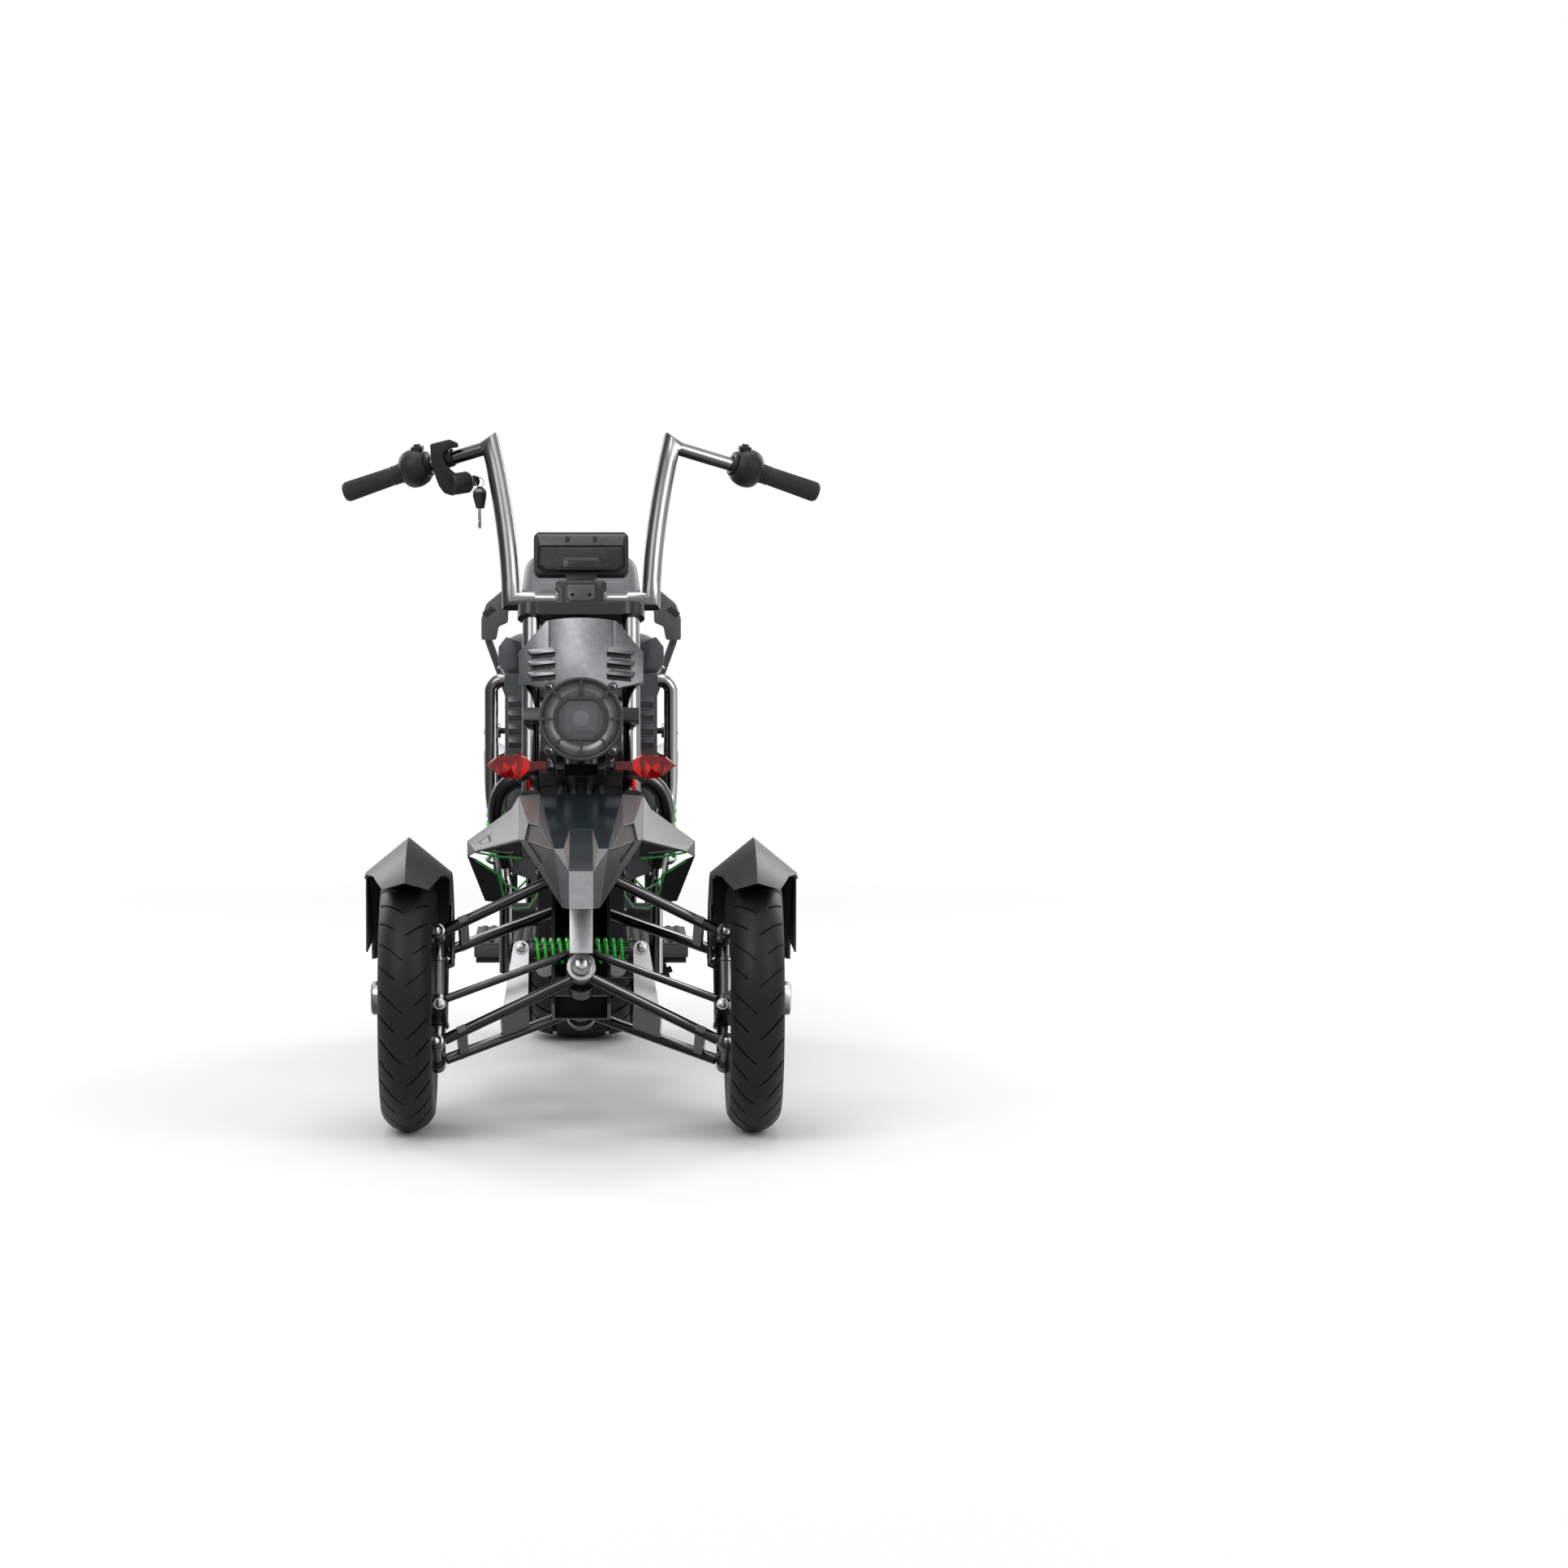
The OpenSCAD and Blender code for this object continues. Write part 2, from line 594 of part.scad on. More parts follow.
// Fork and handlebar, in the raked frame
clamp_high = axis_at(880);
clamp_low = 400;
fork_y = -26;
fork_low = 376;
module fork_clamps() color("dimgray") raked() {
    translate([0, 0, drop_arm_z]) cylinder(h = clamp_high + 16 - drop_arm_z, r = stem_r);
    for (z = [clamp_low, clamp_high - 4]) difference() {
        translate([0, 0, z]) linear_extrude(24) {
            for (m = [-1, 1]) translate([m * fork_x, fork_y]) circle(r = fork_r + 9);
            translate([-fork_x, fork_y - 20]) square([2 * fork_x, 44]);
            circle(r = stem_r + 12);
        }
        for (m = [-1, 1]) translate([m * fork_x, fork_y, z - 1]) cylinder(h = 26, r = fork_r + run_fit);
    }
    translate([0, 0, drop_arm_z]) linear_extrude(drop_arm_t) {
        circle(r = stem_r + 6);
        translate([-14, -steer_arm]) square([28, steer_arm]);
        for (m = [-1, 1]) translate([m * tie_inner_x, -steer_arm]) circle(r = 10);
    }
    both_sides() translate([tie_inner_x, -steer_arm, drop_arm_z]) {
        cylinder(h = drop_arm_t + tie_boss_t + tie_eye_t + 4, r = tie_bolt_r);
        cylinder(h = drop_arm_t + tie_boss_t, r = tie_boss_r);
    }
    both_sides() {
        block([30, signal_local.y - 9, clamp_low - 4], [44, fork_y - 18, clamp_low + 22]);
        translate([0, signal_local.y, signal_local.z]) round_x(40, signal_in - seat_gap, 8);
    }
}

module fork_tubes() color("whitesmoke") raked() both_sides() translate([fork_x, fork_y, 0]) {
    translate([0, 0, fork_low]) cylinder(h = clamp_high + 24 - fork_low, r = fork_r);
}

// Handlebar: low bar, bowed risers and swept grips, placed by height over the ground
bar_low = [0, axis_y(918), 918];
riser_low = [127, bar_low.y, 918];
riser_mid = [138, axis_y(1065) - 8, 1065];
riser_top = [166, axis_y(1208) - 20, 1208];
grip_end = [grip_end_x, 530, 1114];
grip_in = riser_top + 0.6 * (grip_end - riser_top);
bar_end = grip_end - 0.05 * (grip_end - grip_in);
module handlebar() color("whitesmoke") placed() {
    translate([0, bar_low.y, bar_low.z]) round_x(-riser_low.x, riser_low.x, bar_r);
    both_sides() {
        bent_tube([[84, riser_low.y, riser_low.z], riser_low, riser_mid, riser_top, riser_top + 0.12 * (grip_in - riser_top)], riser_r);
        bar(riser_top, bar_end, bar_r);
    }
}

module grips() color("black") placed() both_sides() difference() {
    bar(grip_in, grip_end, grip_r);
    bar(riser_top, bar_end, bar_r + run_fit);
}

module switch_pods() color("black") placed() both_sides() {
    dir = (grip_in - riser_top) / norm(grip_in - riser_top);
    p = grip_in - dir * (26 + seat_gap);
    difference() {
        union() {
            translate(p) sphere(r = 36);
            translate(p + [0, -6, 34]) cylinder(h = 12, r = 9);
        }
        bar(riser_top, bar_end, bar_r + run_fit);
        bar(p + dir * 26, grip_end, 60);
    }
}

// The handlebar clamp sits on the upper fork clamp, with the accessory plate on its front face
clamp_top = clamp_high + 20;
bar_local_z = axis_at(918);
bar_clamp_half = 48;
bar_clamp_front = -30;
module bar_clamp() color("black") raked() difference() {
    block([-bar_clamp_half, bar_clamp_front, clamp_top + seat_gap], [bar_clamp_half, 26, bar_local_z + 30]);
    translate([0, 0, bar_local_z]) round_x(-60, 60, bar_r + run_fit);
    for (m = [-1, 1]) translate([m * plate_hole_pitch / 2, 0, bar_local_z]) round_y(bar_clamp_front - 1, bar_clamp_front + 14, plate_hole_r);
    translate([0, 0, clamp_top - 30]) cylinder(h = 40, r = stem_r + seat_gap);
}

module display() color("black") raked() {
    translate([0, -6, bar_local_z + 92]) difference() {
        block([-87, -14, -44], [87, 14, 44]);
        block([-70, -15, -30], [70, -10, 14]);
    }
    block([-20, -14, bar_local_z + 30 + seat_gap], [20, 6, bar_local_z + 56]);
}

// Headlight shroud ahead of the upper clamp
// Columns: half width and place along the steering axis
shroud_outline = [[64, 690], [112, 634], [112, 577], [66, 558]];
shroud_front = -88;
shroud_back = fork_y - fork_r - seat_gap;
function mirrored(pts) = concat(pts, [for (i = [len(pts) - 1 : -1 : 0]) [-pts[i][0], pts[i][1]]]);
// Plan of the shroud: half width and place along the raked y, with a rounded middle between flat cheeks
shroud_plan = [[112, shroud_back], [112, -60], [58, -76], [58, shroud_back]];
shroud_bow = 150;
module headlight_shroud() color("lightslategray") raked() difference() {
    intersection() {
        plate_y(shroud_front - 1, shroud_back) polygon(mirrored(shroud_outline));
        translate([0, 0, 500]) linear_extrude(250) {
            polygon(mirrored(shroud_plan));
            intersection() {
                translate([0, shroud_front + shroud_bow]) circle(r = shroud_bow);
                translate([-58, shroud_front - 1]) square([116, shroud_back - shroud_front + 1]);
            }
        }
    }
    block([-50, shroud_front + 16, 540], [50, shroud_back + 5, 660]);
    both_sides() for (z = [578 : 22 : 630]) {
        block([62, shroud_front - 1, z], [100, -62, z + 8]);
        block([46, shroud_front - 1, z], [64, -76, z + 8]);
    }
}

// Headlight: bowl, grille ring with ears and clear lens
lamp_y = 92;
bowl_l = 76;
lamp_z = 718;
module at_lamp() placed() translate([0, lamp_y, lamp_z]) rotate([-90, 0, 0]) children();
module headlight_bowl() color("dimgray") {
    at_lamp() difference() {
        cylinder(h = bowl_l, r1 = headlight_r - 4, r2 = 40);
        translate([0, 0, -0.01]) cylinder(h = bowl_l - 12, r1 = headlight_r - 10, r2 = 34);
    }
    raked() block([-fork_x - 14, -64, 500], [fork_x + 14, fork_y - fork_r - seat_gap, 526]);
}

module headlight_grille() color("black") at_lamp() translate([0, 0, -14]) {
    difference() {
        cylinder(h = 14, r = headlight_r);
        translate([0, 0, -1]) cylinder(h = 16, r = headlight_r - 9);
    }
    for (a = [45 : 90 : 315]) rotate(a) translate([headlight_r + 6, 0, 0]) cylinder(h = 12, r = 9);
    for (i = [0 : grille_spokes - 1]) rotate(360 * i / grille_spokes) block([34, -2.5, 0], [headlight_r - 5, 2.5, 6]);
    difference() {
        linear_extrude(6) intersection() {
            square([92, 78], center = true);
            rotate(45) square([98, 98], center = true);
        }
        translate([0, 0, -1]) linear_extrude(8) intersection() {
            square([82, 68], center = true);
            rotate(45) square([86, 86], center = true);
        }
    }
}

module headlight_lens() color("lightcyan") at_lamp() translate([0, 0, seat_gap - 8]) cylinder(h = 6, r = headlight_r - 9 - seat_gap);

// Turn signals on stems from the lower clamp
signal_y = 106;
signal_z = 634;
signal_in = 90;
signal_local = [0, signal_y * cos(rake) - (signal_z - front_r) * sin(rake), signal_y * sin(rake) + (signal_z - front_r) * cos(rake)];
module turn_signals() color("red") placed() both_sides() translate([0, signal_y, signal_z])
    hull() {
        translate([signal_in, 0, 0]) rotate([0, 90, 0]) cylinder(h = 30, r = 23, $fn = 32);
        translate([162, 0, 0]) sphere(r = 8, $fn = 24);
    }

// Key lock on a ring round the handlebar, on the rider's right
module key_lock() color("black") placed() mirror([1, 0, 0]) {
    dir = (grip_end - riser_top) / norm(grip_end - riser_top);
    q = riser_top + 0.3 * (grip_end - riser_top);
    lock = [q.x + 6, q.y - 26, 1097];
    difference() {
        union() {
            bar(q - dir * 10, q + dir * 10, 20);
            bar(q + [0, -10, -14], lock + [0, 6, 8], 8);
        }
        bar(riser_top, bar_end, bar_r + run_fit);
    }
    translate(lock) round_y(-22, 18, 21);
}

// Knuckles: sleeve on the kingpin, spindle, steering arm and the stay of the fender
module knuckle() translate([kingpin_x, 0, 0]) {
    arm_end = [-tie_outer_in, -steer_arm, tie_outer_z];
    difference() {
        union() {
            translate([0, 0, sleeve_low]) cylinder(h = sleeve_high - sleeve_low, r = sleeve_r);
            round_x(0, wheel_x - kingpin_x - 24, 20);
            round_x(0, wheel_x - kingpin_x + hub_out - 6, spindle_r);
            translate([0, 0, tie_outer_z - tie_boss_t - 10]) linear_extrude(10) {
                translate([-18, -steer_arm + 30]) square([30, steer_arm - 30]);
                translate([arm_end.x, arm_end.y]) circle(r = 12);
                translate([arm_end.x - 10, arm_end.y]) square([20, 40]);
            }
            stay_x = wheel_x - kingpin_x - fender_half + fender_wall / 2;
            bent_tube([[-14, 0, 56], [-25.5, 0, 62], [-25.5, 0, 120], [stay_x, 0, 150], [stay_x, 0, 200]], 4.5);
            translate(arm_end - [0, 0, tie_boss_t]) cylinder(h = tie_boss_t, r = tie_boss_r);
            translate(arm_end - [0, 0, tie_boss_t]) cylinder(h = tie_boss_t + tie_eye_t + 5, r = tie_bolt_r);
        }
        translate([0, 0, -100]) cylinder(h = 200, r = kingpin_r + run_fit);
    }
}

module cut_knuckle() difference() {
    raked() knuckle();
    placed() block([kingpin_x - 60, -200, wall_low_in - seat_gap], [kingpin_x + 60, 400, 600]);
}
module knuckle_left() color("dimgray") cut_knuckle();
module knuckle_right() color("dimgray") mirror([1, 0, 0]) cut_knuckle();

// Front fender: a gabled roof swept over the tyre
fender_half = 75;
fender_wall = 4;
fender_ridge = front_r + 48;
fender_eave = front_r - 13;
fender_rear_angle = 12;
fender_sweep = 119;
// Front lip seen from ahead: distance from the wheel's middle and height over the ground
lip_line = [[-75, 454], [-58, 454], [-40, 437], [0, 451.5], [40, 437], [58, 454], [75, 454]];
wall_low_in = 397;
wall_low_out = 315;
wall_front = -8;
wall_inset = 0.6;
wall_t = fender_wall - 2 * wall_inset;
module fender_wall_plate(x0, low) intersection() {
    translate([x0, 0, 0]) round_x(0, wall_t, fender_eave - 1);
    block([x0 - 1, wall_front, low - front_r], [x0 + wall_t + 1, fender_eave, fender_eave]);
}
module fender() placed() translate([wheel_x, 0, front_r]) {
    difference() {
        rotate([0, 0, 90]) rotate([90, 0, 0]) rotate([0, 0, fender_rear_angle]) rotate_extrude(angle = fender_sweep) difference() {
            polygon([[fender_eave - fender_wall, -fender_half], [fender_eave, -fender_half], [fender_ridge, 0], [fender_eave, fender_half],
                [fender_eave - fender_wall, fender_half]]);
            polygon([[fender_eave - fender_wall - 1, fender_wall - fender_half], [fender_eave - fender_wall, fender_wall - fender_half],
                [fender_ridge - fender_wall * 1.5, 0], [fender_eave - fender_wall, fender_half - fender_wall],
                [fender_eave - fender_wall - 1, fender_half - fender_wall]]);
        }
        translate([0, 0, -front_r]) plate_y(-400, -40) polygon(concat(lip_line, [[80, 454], [80, 0], [-80, 0], [-80, 454]]));
    }
    fender_wall_plate(wall_inset - fender_half, wall_low_in);
    fender_wall_plate(fender_half - fender_wall + wall_inset, wall_low_out);
}
module fender_left() color("dimgray") fender();
module fender_right() color("dimgray") mirror([1, 0, 0]) fender();

// Tyres and wheels
module tyre_ring(r, w, bead, crown) rotate([0, 90, 0]) rotate_extrude() difference() {
    union() {
        intersection() {
            translate([r - crown, 0]) circle(r = crown);
            translate([bead / 2, -w / 2]) square([r, w]);
        }
        polygon([[bead / 2, -w * 0.36], [r - w * 0.36, -w / 2], [r - w * 0.36, w / 2], [bead / 2, w * 0.36]]);
    }
    translate([0, -w]) square([bead / 2, 2 * w]);
}

module front_tyre() translate([wheel_x, 0, front_r]) tyre_ring(front_r, front_tyre_w, front_bead_d, 50);
module tyre_left() color("black") placed() front_tyre();
module tyre_right() color("black") placed() mirror([1, 0, 0]) front_tyre();

rim_half = 33;
module front_rim() translate([wheel_x, 0, front_r]) {
    rotate([0, 90, 0]) difference() {
        rotate_extrude() translate([front_bead_d / 2 - rim_wall, -rim_half]) square([rim_wall - seat_gap, 2 * rim_half]);
    }
    difference() {
        union() {
            round_x(-22, hub_out, hub_r);
            for (i = [0 : front_spokes - 1]) rotate([360 * i / front_spokes, 0, 0])
                block([8, -14, hub_r - 4], [22, 14, front_bead_d / 2 - rim_wall + 2]);
        }
        round_x(-30, hub_out - 5, spindle_r + run_fit);
    }
}
module rim_left() color("silver") placed() front_rim();
module rim_right() color("silver") placed() mirror([1, 0, 0]) front_rim();

module tyre_rear() color("black") placed() translate([0, wheelbase, rear_r]) tyre_ring(rear_r, rear_tyre_w, rear_bead_d, 330);

module motor_wheel() color("silver") placed() translate([0, wheelbase, rear_r]) {
    rotate([0, 90, 0]) rotate_extrude() translate([rear_bead_d / 2 - 10, -rear_tyre_w * 0.36]) square([10 - seat_gap, rear_tyre_w * 0.72]);
    difference() {
        union() {
            round_x(-75, 75, motor_r);
            round_x(-30, 30, rear_bead_d / 2 - 5);
        }
    }
    round_x(-150, 150, rear_axle_r);
}

// Tie rods: eye on the drop arm, rod, and an open eye round the bolt of the steering arm
tie_drift = 1.5;
module tie_rod() {
    a = [tie_inner_x, -steer_arm, drop_arm_z + drop_arm_t + tie_boss_t + 0.5];
    b = [kingpin_x - tie_outer_in + tie_drift, -steer_arm, tie_outer_z + 0.5];
    difference() {
        union() {
            translate(a) cylinder(h = tie_eye_t, r = tie_eye_r);
            translate(b) cylinder(h = tie_eye_t, r = tie_eye_r + 2);
            bar(a + [10.5, 0, tie_eye_t / 2], b + [-12.5, 0, tie_eye_t / 2], tie_r);
        }
        translate(a - [0, 0, 20]) cylinder(h = 50, r = tie_bolt_r + run_fit);
        translate(b - [0, 0, 20]) cylinder(h = 50, r = tie_bolt_r + tie_drift + 2);
    }
}
module tie_rod_left() color("black") raked() tie_rod();
module tie_rod_right() color("black") raked() mirror([1, 0, 0]) tie_rod();

// Side stand on the rider's left, folded back under the footboard
module side_stand() color("black") placed() translate(stand_pivot) rotate([0, -stand_tilt, 0]) difference() {
    union() {
        round_x(-6, 12, 14);
        bar([3, 0, 0], [3, stand_l, 0], stand_r);
    }
    round_x(-40, 40, stand_pin_r + run_fit);
}

main_frame();
floor_frame();
seat_frame();
front_column();
upper_arms();
lower_arms();
spring_levers();
springs();
dampers();
uprights();
nose_fairing();
nose_wings();
nose_lenses();
leg_shield();
battery_case();
tank_cover();
guard_tubes();
footboards();
rear_lamps();
seat();
backrest();
grab_handles();
rear_fender();
swingarm();
fork_clamps();
fork_tubes();
handlebar();
grips();
switch_pods();
bar_clamp();
display();
headlight_shroud();
headlight_bowl();
headlight_grille();
headlight_lens();
turn_signals();
key_lock();
knuckle_left();
knuckle_right();
fender_left();
fender_right();
tyre_left();
rim_left();
tyre_right();
rim_right();
tyre_rear();
motor_wheel();
tie_rod_left();
tie_rod_right();
side_stand();
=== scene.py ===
import math
import bpy
import bmesh
from bmesh.types import BMEdge, BMVert
from mathutils import Matrix, Vector


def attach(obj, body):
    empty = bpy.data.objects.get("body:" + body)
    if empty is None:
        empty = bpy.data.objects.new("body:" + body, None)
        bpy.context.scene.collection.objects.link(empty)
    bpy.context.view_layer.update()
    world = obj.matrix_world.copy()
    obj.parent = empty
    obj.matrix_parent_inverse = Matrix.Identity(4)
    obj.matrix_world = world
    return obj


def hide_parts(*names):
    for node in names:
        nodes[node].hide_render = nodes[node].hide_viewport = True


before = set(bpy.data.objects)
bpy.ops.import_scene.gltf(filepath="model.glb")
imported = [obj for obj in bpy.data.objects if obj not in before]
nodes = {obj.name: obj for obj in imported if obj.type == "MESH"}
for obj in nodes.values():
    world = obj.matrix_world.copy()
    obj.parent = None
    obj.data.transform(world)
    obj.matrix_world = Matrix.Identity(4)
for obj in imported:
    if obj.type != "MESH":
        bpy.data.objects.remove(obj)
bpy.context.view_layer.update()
scene = bpy.context.scene
sides = (("left", 1), ("right", -1))
print("frame loaded:", len(nodes), "nodes")

# places are in millimetres, y counted back from the front axle, as in the part's source
drawing = {"shiftY": -640.1116, "rake": 26.0, "frontRadius": 233.5, "rearRadius": 235.0,
    "wheelbase": 1280.0, "wheelX": 301.5}


def at(x, y, z):
    return Vector((x, y + drawing["shiftY"], z)) / 1000


def onRake(x, y, z):
    lean = math.radians(drawing["rake"])
    return at(x, y * math.cos(lean) + z * math.sin(lean),
        drawing["frontRadius"] - y * math.sin(lean) + z * math.cos(lean))


rakeUp = (onRake(0, 0, 1) - onRake(0, 0, 0)).normalized()
rakeBack = (onRake(0, 1, 0) - onRake(0, 0, 0)).normalized()


def show(name, data):
    thing = bpy.data.objects.new(name, data)
    scene.collection.objects.link(thing)
    return thing


def mirrored(point):
    return Vector((-point[0], point[1], point[2]))


def axisFrame(origin, along, across=(1, 0, 0)):
    zAxis = Vector(along).normalized()
    xAxis = Vector(across) - Vector(across).dot(zAxis) * zAxis
    if xAxis.length < 1e-3:
        xAxis = zAxis.orthogonal()
    xAxis.normalize()
    place = Matrix((xAxis, zAxis.cross(xAxis), zAxis)).transposed().to_4x4()
    place.translation = Vector(origin)
    return place


def faceOnRake(x, y, z):
    return axisFrame(onRake(x, y, z), -rakeBack)


def frontFace(y):
    return axisFrame(at(0, y, 0), (0, -1, 0))


def raised(place, height, x=0.0, y=0.0):
    return place @ Matrix.Translation((x / 1000, y / 1000, height / 1000))


def turned(place, degrees):
    return place @ Matrix.Rotation(math.radians(degrees), 4, "Z")


def evenOutline(half):
    # a whole outline from the points of its right half
    return half + [(-x, y) for x, y in half[::-1]]


# camera at the photo's view
photoView = {"place": at(0, -7500, 1140), "tilt": 85.95, "lens": 98.91, "shiftX": 0.1294}
eye = bpy.data.cameras.new("photoEye")
eye.sensor_width = 36
eye.lens = photoView["lens"]
eye.shift_x = photoView["shiftX"]
eyeObject = show("photoEye", eye)
eyeObject.location = photoView["place"]
eyeObject.rotation_euler = (math.radians(photoView["tilt"]), 0, 0)
scene.camera = eyeObject
scene.view_settings.view_transform = "Standard"

# studio: large soft lamps, and a world that shows white to the camera and in reflections
studio = {"sky": 0.42, "lamps": [("keyLamp", (-2.6, -4.2, 4.6), (0, 0, 0.5), 3.2, 3.2, 150),
    ("fillLamp", (3.4, -3.0, 3.0), (0, 0, 0.6), 2.6, 2.6, 60),
    ("topLamp", (0.0, 0.4, 4.6), (0, 0, 0.5), 3.0, 4.0, 90),
    ("rimLampLeft", (3.2, 3.4, 2.6), (0, 0, 0.8), 1.2, 2.6, 70),
    ("rimLampRight", (-3.2, 3.4, 2.6), (0, 0, 0.8), 1.2, 2.6, 70)]}
for lampName, place, target, wide, tall, power in studio["lamps"]:
    lamp = bpy.data.lights.new(lampName, "AREA")
    lamp.shape = "RECTANGLE"
    lamp.size = wide
    lamp.size_y = tall
    lamp.energy = power
    lampObject = show(lampName, lamp)
    lampObject.location = place
    lampObject.rotation_euler = (Vector(target) - Vector(place)).to_track_quat("-Z", "Y").to_euler()


def link(tree, fromNode, fromSocket, toNode, toSocket):
    tree.links.new(fromNode.outputs[fromSocket], toNode.inputs[toSocket])


def whiteToCamera(tree):
    # one where a camera, glossy or transmission ray arrives
    path = tree.nodes.new("ShaderNodeLightPath")
    first = tree.nodes.new("ShaderNodeMath")
    first.operation = "MAXIMUM"
    second = tree.nodes.new("ShaderNodeMath")
    second.operation = "MAXIMUM"
    link(tree, path, "Is Camera Ray", first, 0)
    link(tree, path, "Is Glossy Ray", first, 1)
    link(tree, first, 0, second, 0)
    link(tree, path, "Is Transmission Ray", second, 1)
    return second


world = bpy.data.worlds.new("studioSky")
scene.world = world
world.use_nodes = True
sky = world.node_tree
sky.nodes.clear()
skyLight = sky.nodes.new("ShaderNodeBackground")
skyLight.inputs["Color"].default_value = (1, 1, 1, 1)
skyLight.inputs["Strength"].default_value = studio["sky"]
skyWhite = sky.nodes.new("ShaderNodeBackground")
skyWhite.inputs["Color"].default_value = (1, 1, 1, 1)
skyMix = sky.nodes.new("ShaderNodeMixShader")
skyOut = sky.nodes.new("ShaderNodeOutputWorld")
link(sky, whiteToCamera(sky), 0, skyMix, 0)
link(sky, skyLight, 0, skyMix, 1)
link(sky, skyWhite, 0, skyMix, 2)
link(sky, skyMix, 0, skyOut, 0)
print("camera and studio done")


# shader groups that several finishes share
def newGroup(name, inputs, outputs):
    group = bpy.data.node_groups.new(name, "ShaderNodeTree")
    for label, kind in inputs:
        group.interface.new_socket(label, in_out="INPUT", socket_type=kind)
    for label, kind in outputs:
        group.interface.new_socket(label, in_out="OUTPUT", socket_type=kind)
    return group, group.nodes.new("NodeGroupInput"), group.nodes.new("NodeGroupOutput")


def mathNode(tree, operation, first, second):
    node = tree.nodes.new("ShaderNodeMath")
    node.operation = operation
    for slot, value in enumerate((first, second)):
        if isinstance(value, (int, float)):
            node.inputs[slot].default_value = value
        else:
            tree.links.new(value, node.inputs[slot])
    return node.outputs[0]


def rangeNode(tree, value, low, high, toLow, toHigh):
    node = tree.nodes.new("ShaderNodeMapRange")
    tree.links.new(value, node.inputs["Value"])
    for label, number in (("From Min", low), ("From Max", high), ("To Min", toLow), ("To Max", toHigh)):
        node.inputs[label].default_value = number
    return node.outputs[0]


def noiseNode(tree, vector, scale, detail=4.0, rough=0.55):
    node = tree.nodes.new("ShaderNodeTexNoise")
    tree.links.new(vector, node.inputs["Vector"])
    node.inputs["Detail"].default_value = detail
    node.inputs["Roughness"].default_value = rough
    if isinstance(scale, (int, float)):
        node.inputs["Scale"].default_value = scale
    else:
        tree.links.new(scale, node.inputs["Scale"])
    return node.outputs[0]


def mixColour(tree, factor, first, second, blend="MIX"):
    node = tree.nodes.new("ShaderNodeMix")
    node.data_type = "RGBA"
    node.blend_type = blend
    for slot, value in ((0, factor), (6, first), (7, second)):
        if isinstance(value, (int, float)):
            node.inputs[slot].default_value = value
        elif isinstance(value, tuple):
            node.inputs[slot].default_value = (*value, 1)
        else:
            tree.links.new(value, node.inputs[slot])
    return node.outputs[2]


# grain: fine speckle and wide mottling in colour, roughness and height
grainGroup, grainIn, grainOut = newGroup("surfaceGrain",
    [("Vector", "NodeSocketVector"), ("Scale", "NodeSocketFloat"), ("Tone", "NodeSocketColor"),
    ("Shade", "NodeSocketFloat"), ("Rough", "NodeSocketFloat"), ("Spread", "NodeSocketFloat")],
    [("Color", "NodeSocketColor"), ("Roughness", "NodeSocketFloat"), ("Height", "NodeSocketFloat")])
grainFine = noiseNode(grainGroup, grainIn.outputs["Vector"], grainIn.outputs["Scale"])
grainWide = noiseNode(grainGroup, grainIn.outputs["Vector"],
    mathNode(grainGroup, "MULTIPLY", grainIn.outputs["Scale"], 0.04), 3.0)
mottle = rangeNode(grainGroup, grainWide, 0.3, 0.7, 0.6, 1.25)
grainGroup.links.new(mixColour(grainGroup, grainIn.outputs["Shade"], grainIn.outputs["Tone"], mottle,
    "MULTIPLY"), grainOut.inputs["Color"])
speckle = mathNode(grainGroup, "SUBTRACT", mathNode(grainGroup, "ADD", grainFine, grainWide), 1.0)
grainGroup.links.new(mathNode(grainGroup, "ADD", grainIn.outputs["Rough"],
    mathNode(grainGroup, "MULTIPLY", speckle, grainIn.outputs["Spread"])), grainOut.inputs["Roughness"])
grainGroup.links.new(grainFine, grainOut.inputs["Height"])

# edges: where the rounded normal leaves the flat one, the paint is rubbed
edgeGroup, edgeIn, edgeOut = newGroup("rubbedEdge", [("Vector", "NodeSocketVector"),
    ("Radius", "NodeSocketFloat"), ("Amount", "NodeSocketFloat"), ("Tone", "NodeSocketColor"),
    ("Bare", "NodeSocketColor")], [("Color", "NodeSocketColor"), ("Normal", "NodeSocketVector")])
rounded = edgeGroup.nodes.new("ShaderNodeBevel")
rounded.samples = 4
edgeGroup.links.new(edgeIn.outputs["Radius"], rounded.inputs["Radius"])
flatSide = edgeGroup.nodes.new("ShaderNodeNewGeometry")
leaning = edgeGroup.nodes.new("ShaderNodeVectorMath")
leaning.operation = "DOT_PRODUCT"
edgeGroup.links.new(rounded.outputs[0], leaning.inputs[0])
edgeGroup.links.new(flatSide.outputs["Normal"], leaning.inputs[1])
edgeMask = rangeNode(edgeGroup, leaning.outputs["Value"], 0.995, 0.86, 0.0, 1.0)
edgeBreak = rangeNode(edgeGroup, noiseNode(edgeGroup, edgeIn.outputs["Vector"], 70.0), 0.4, 0.62, 0.15, 1.0)
edgeShare = mathNode(edgeGroup, "MULTIPLY", mathNode(edgeGroup, "MULTIPLY", edgeMask, edgeBreak),
    edgeIn.outputs["Amount"])
edgeGroup.links.new(mixColour(edgeGroup, edgeShare, edgeIn.outputs["Tone"], edgeIn.outputs["Bare"]),
    edgeOut.inputs["Color"])
edgeGroup.links.new(rounded.outputs[0], edgeOut.inputs["Normal"])

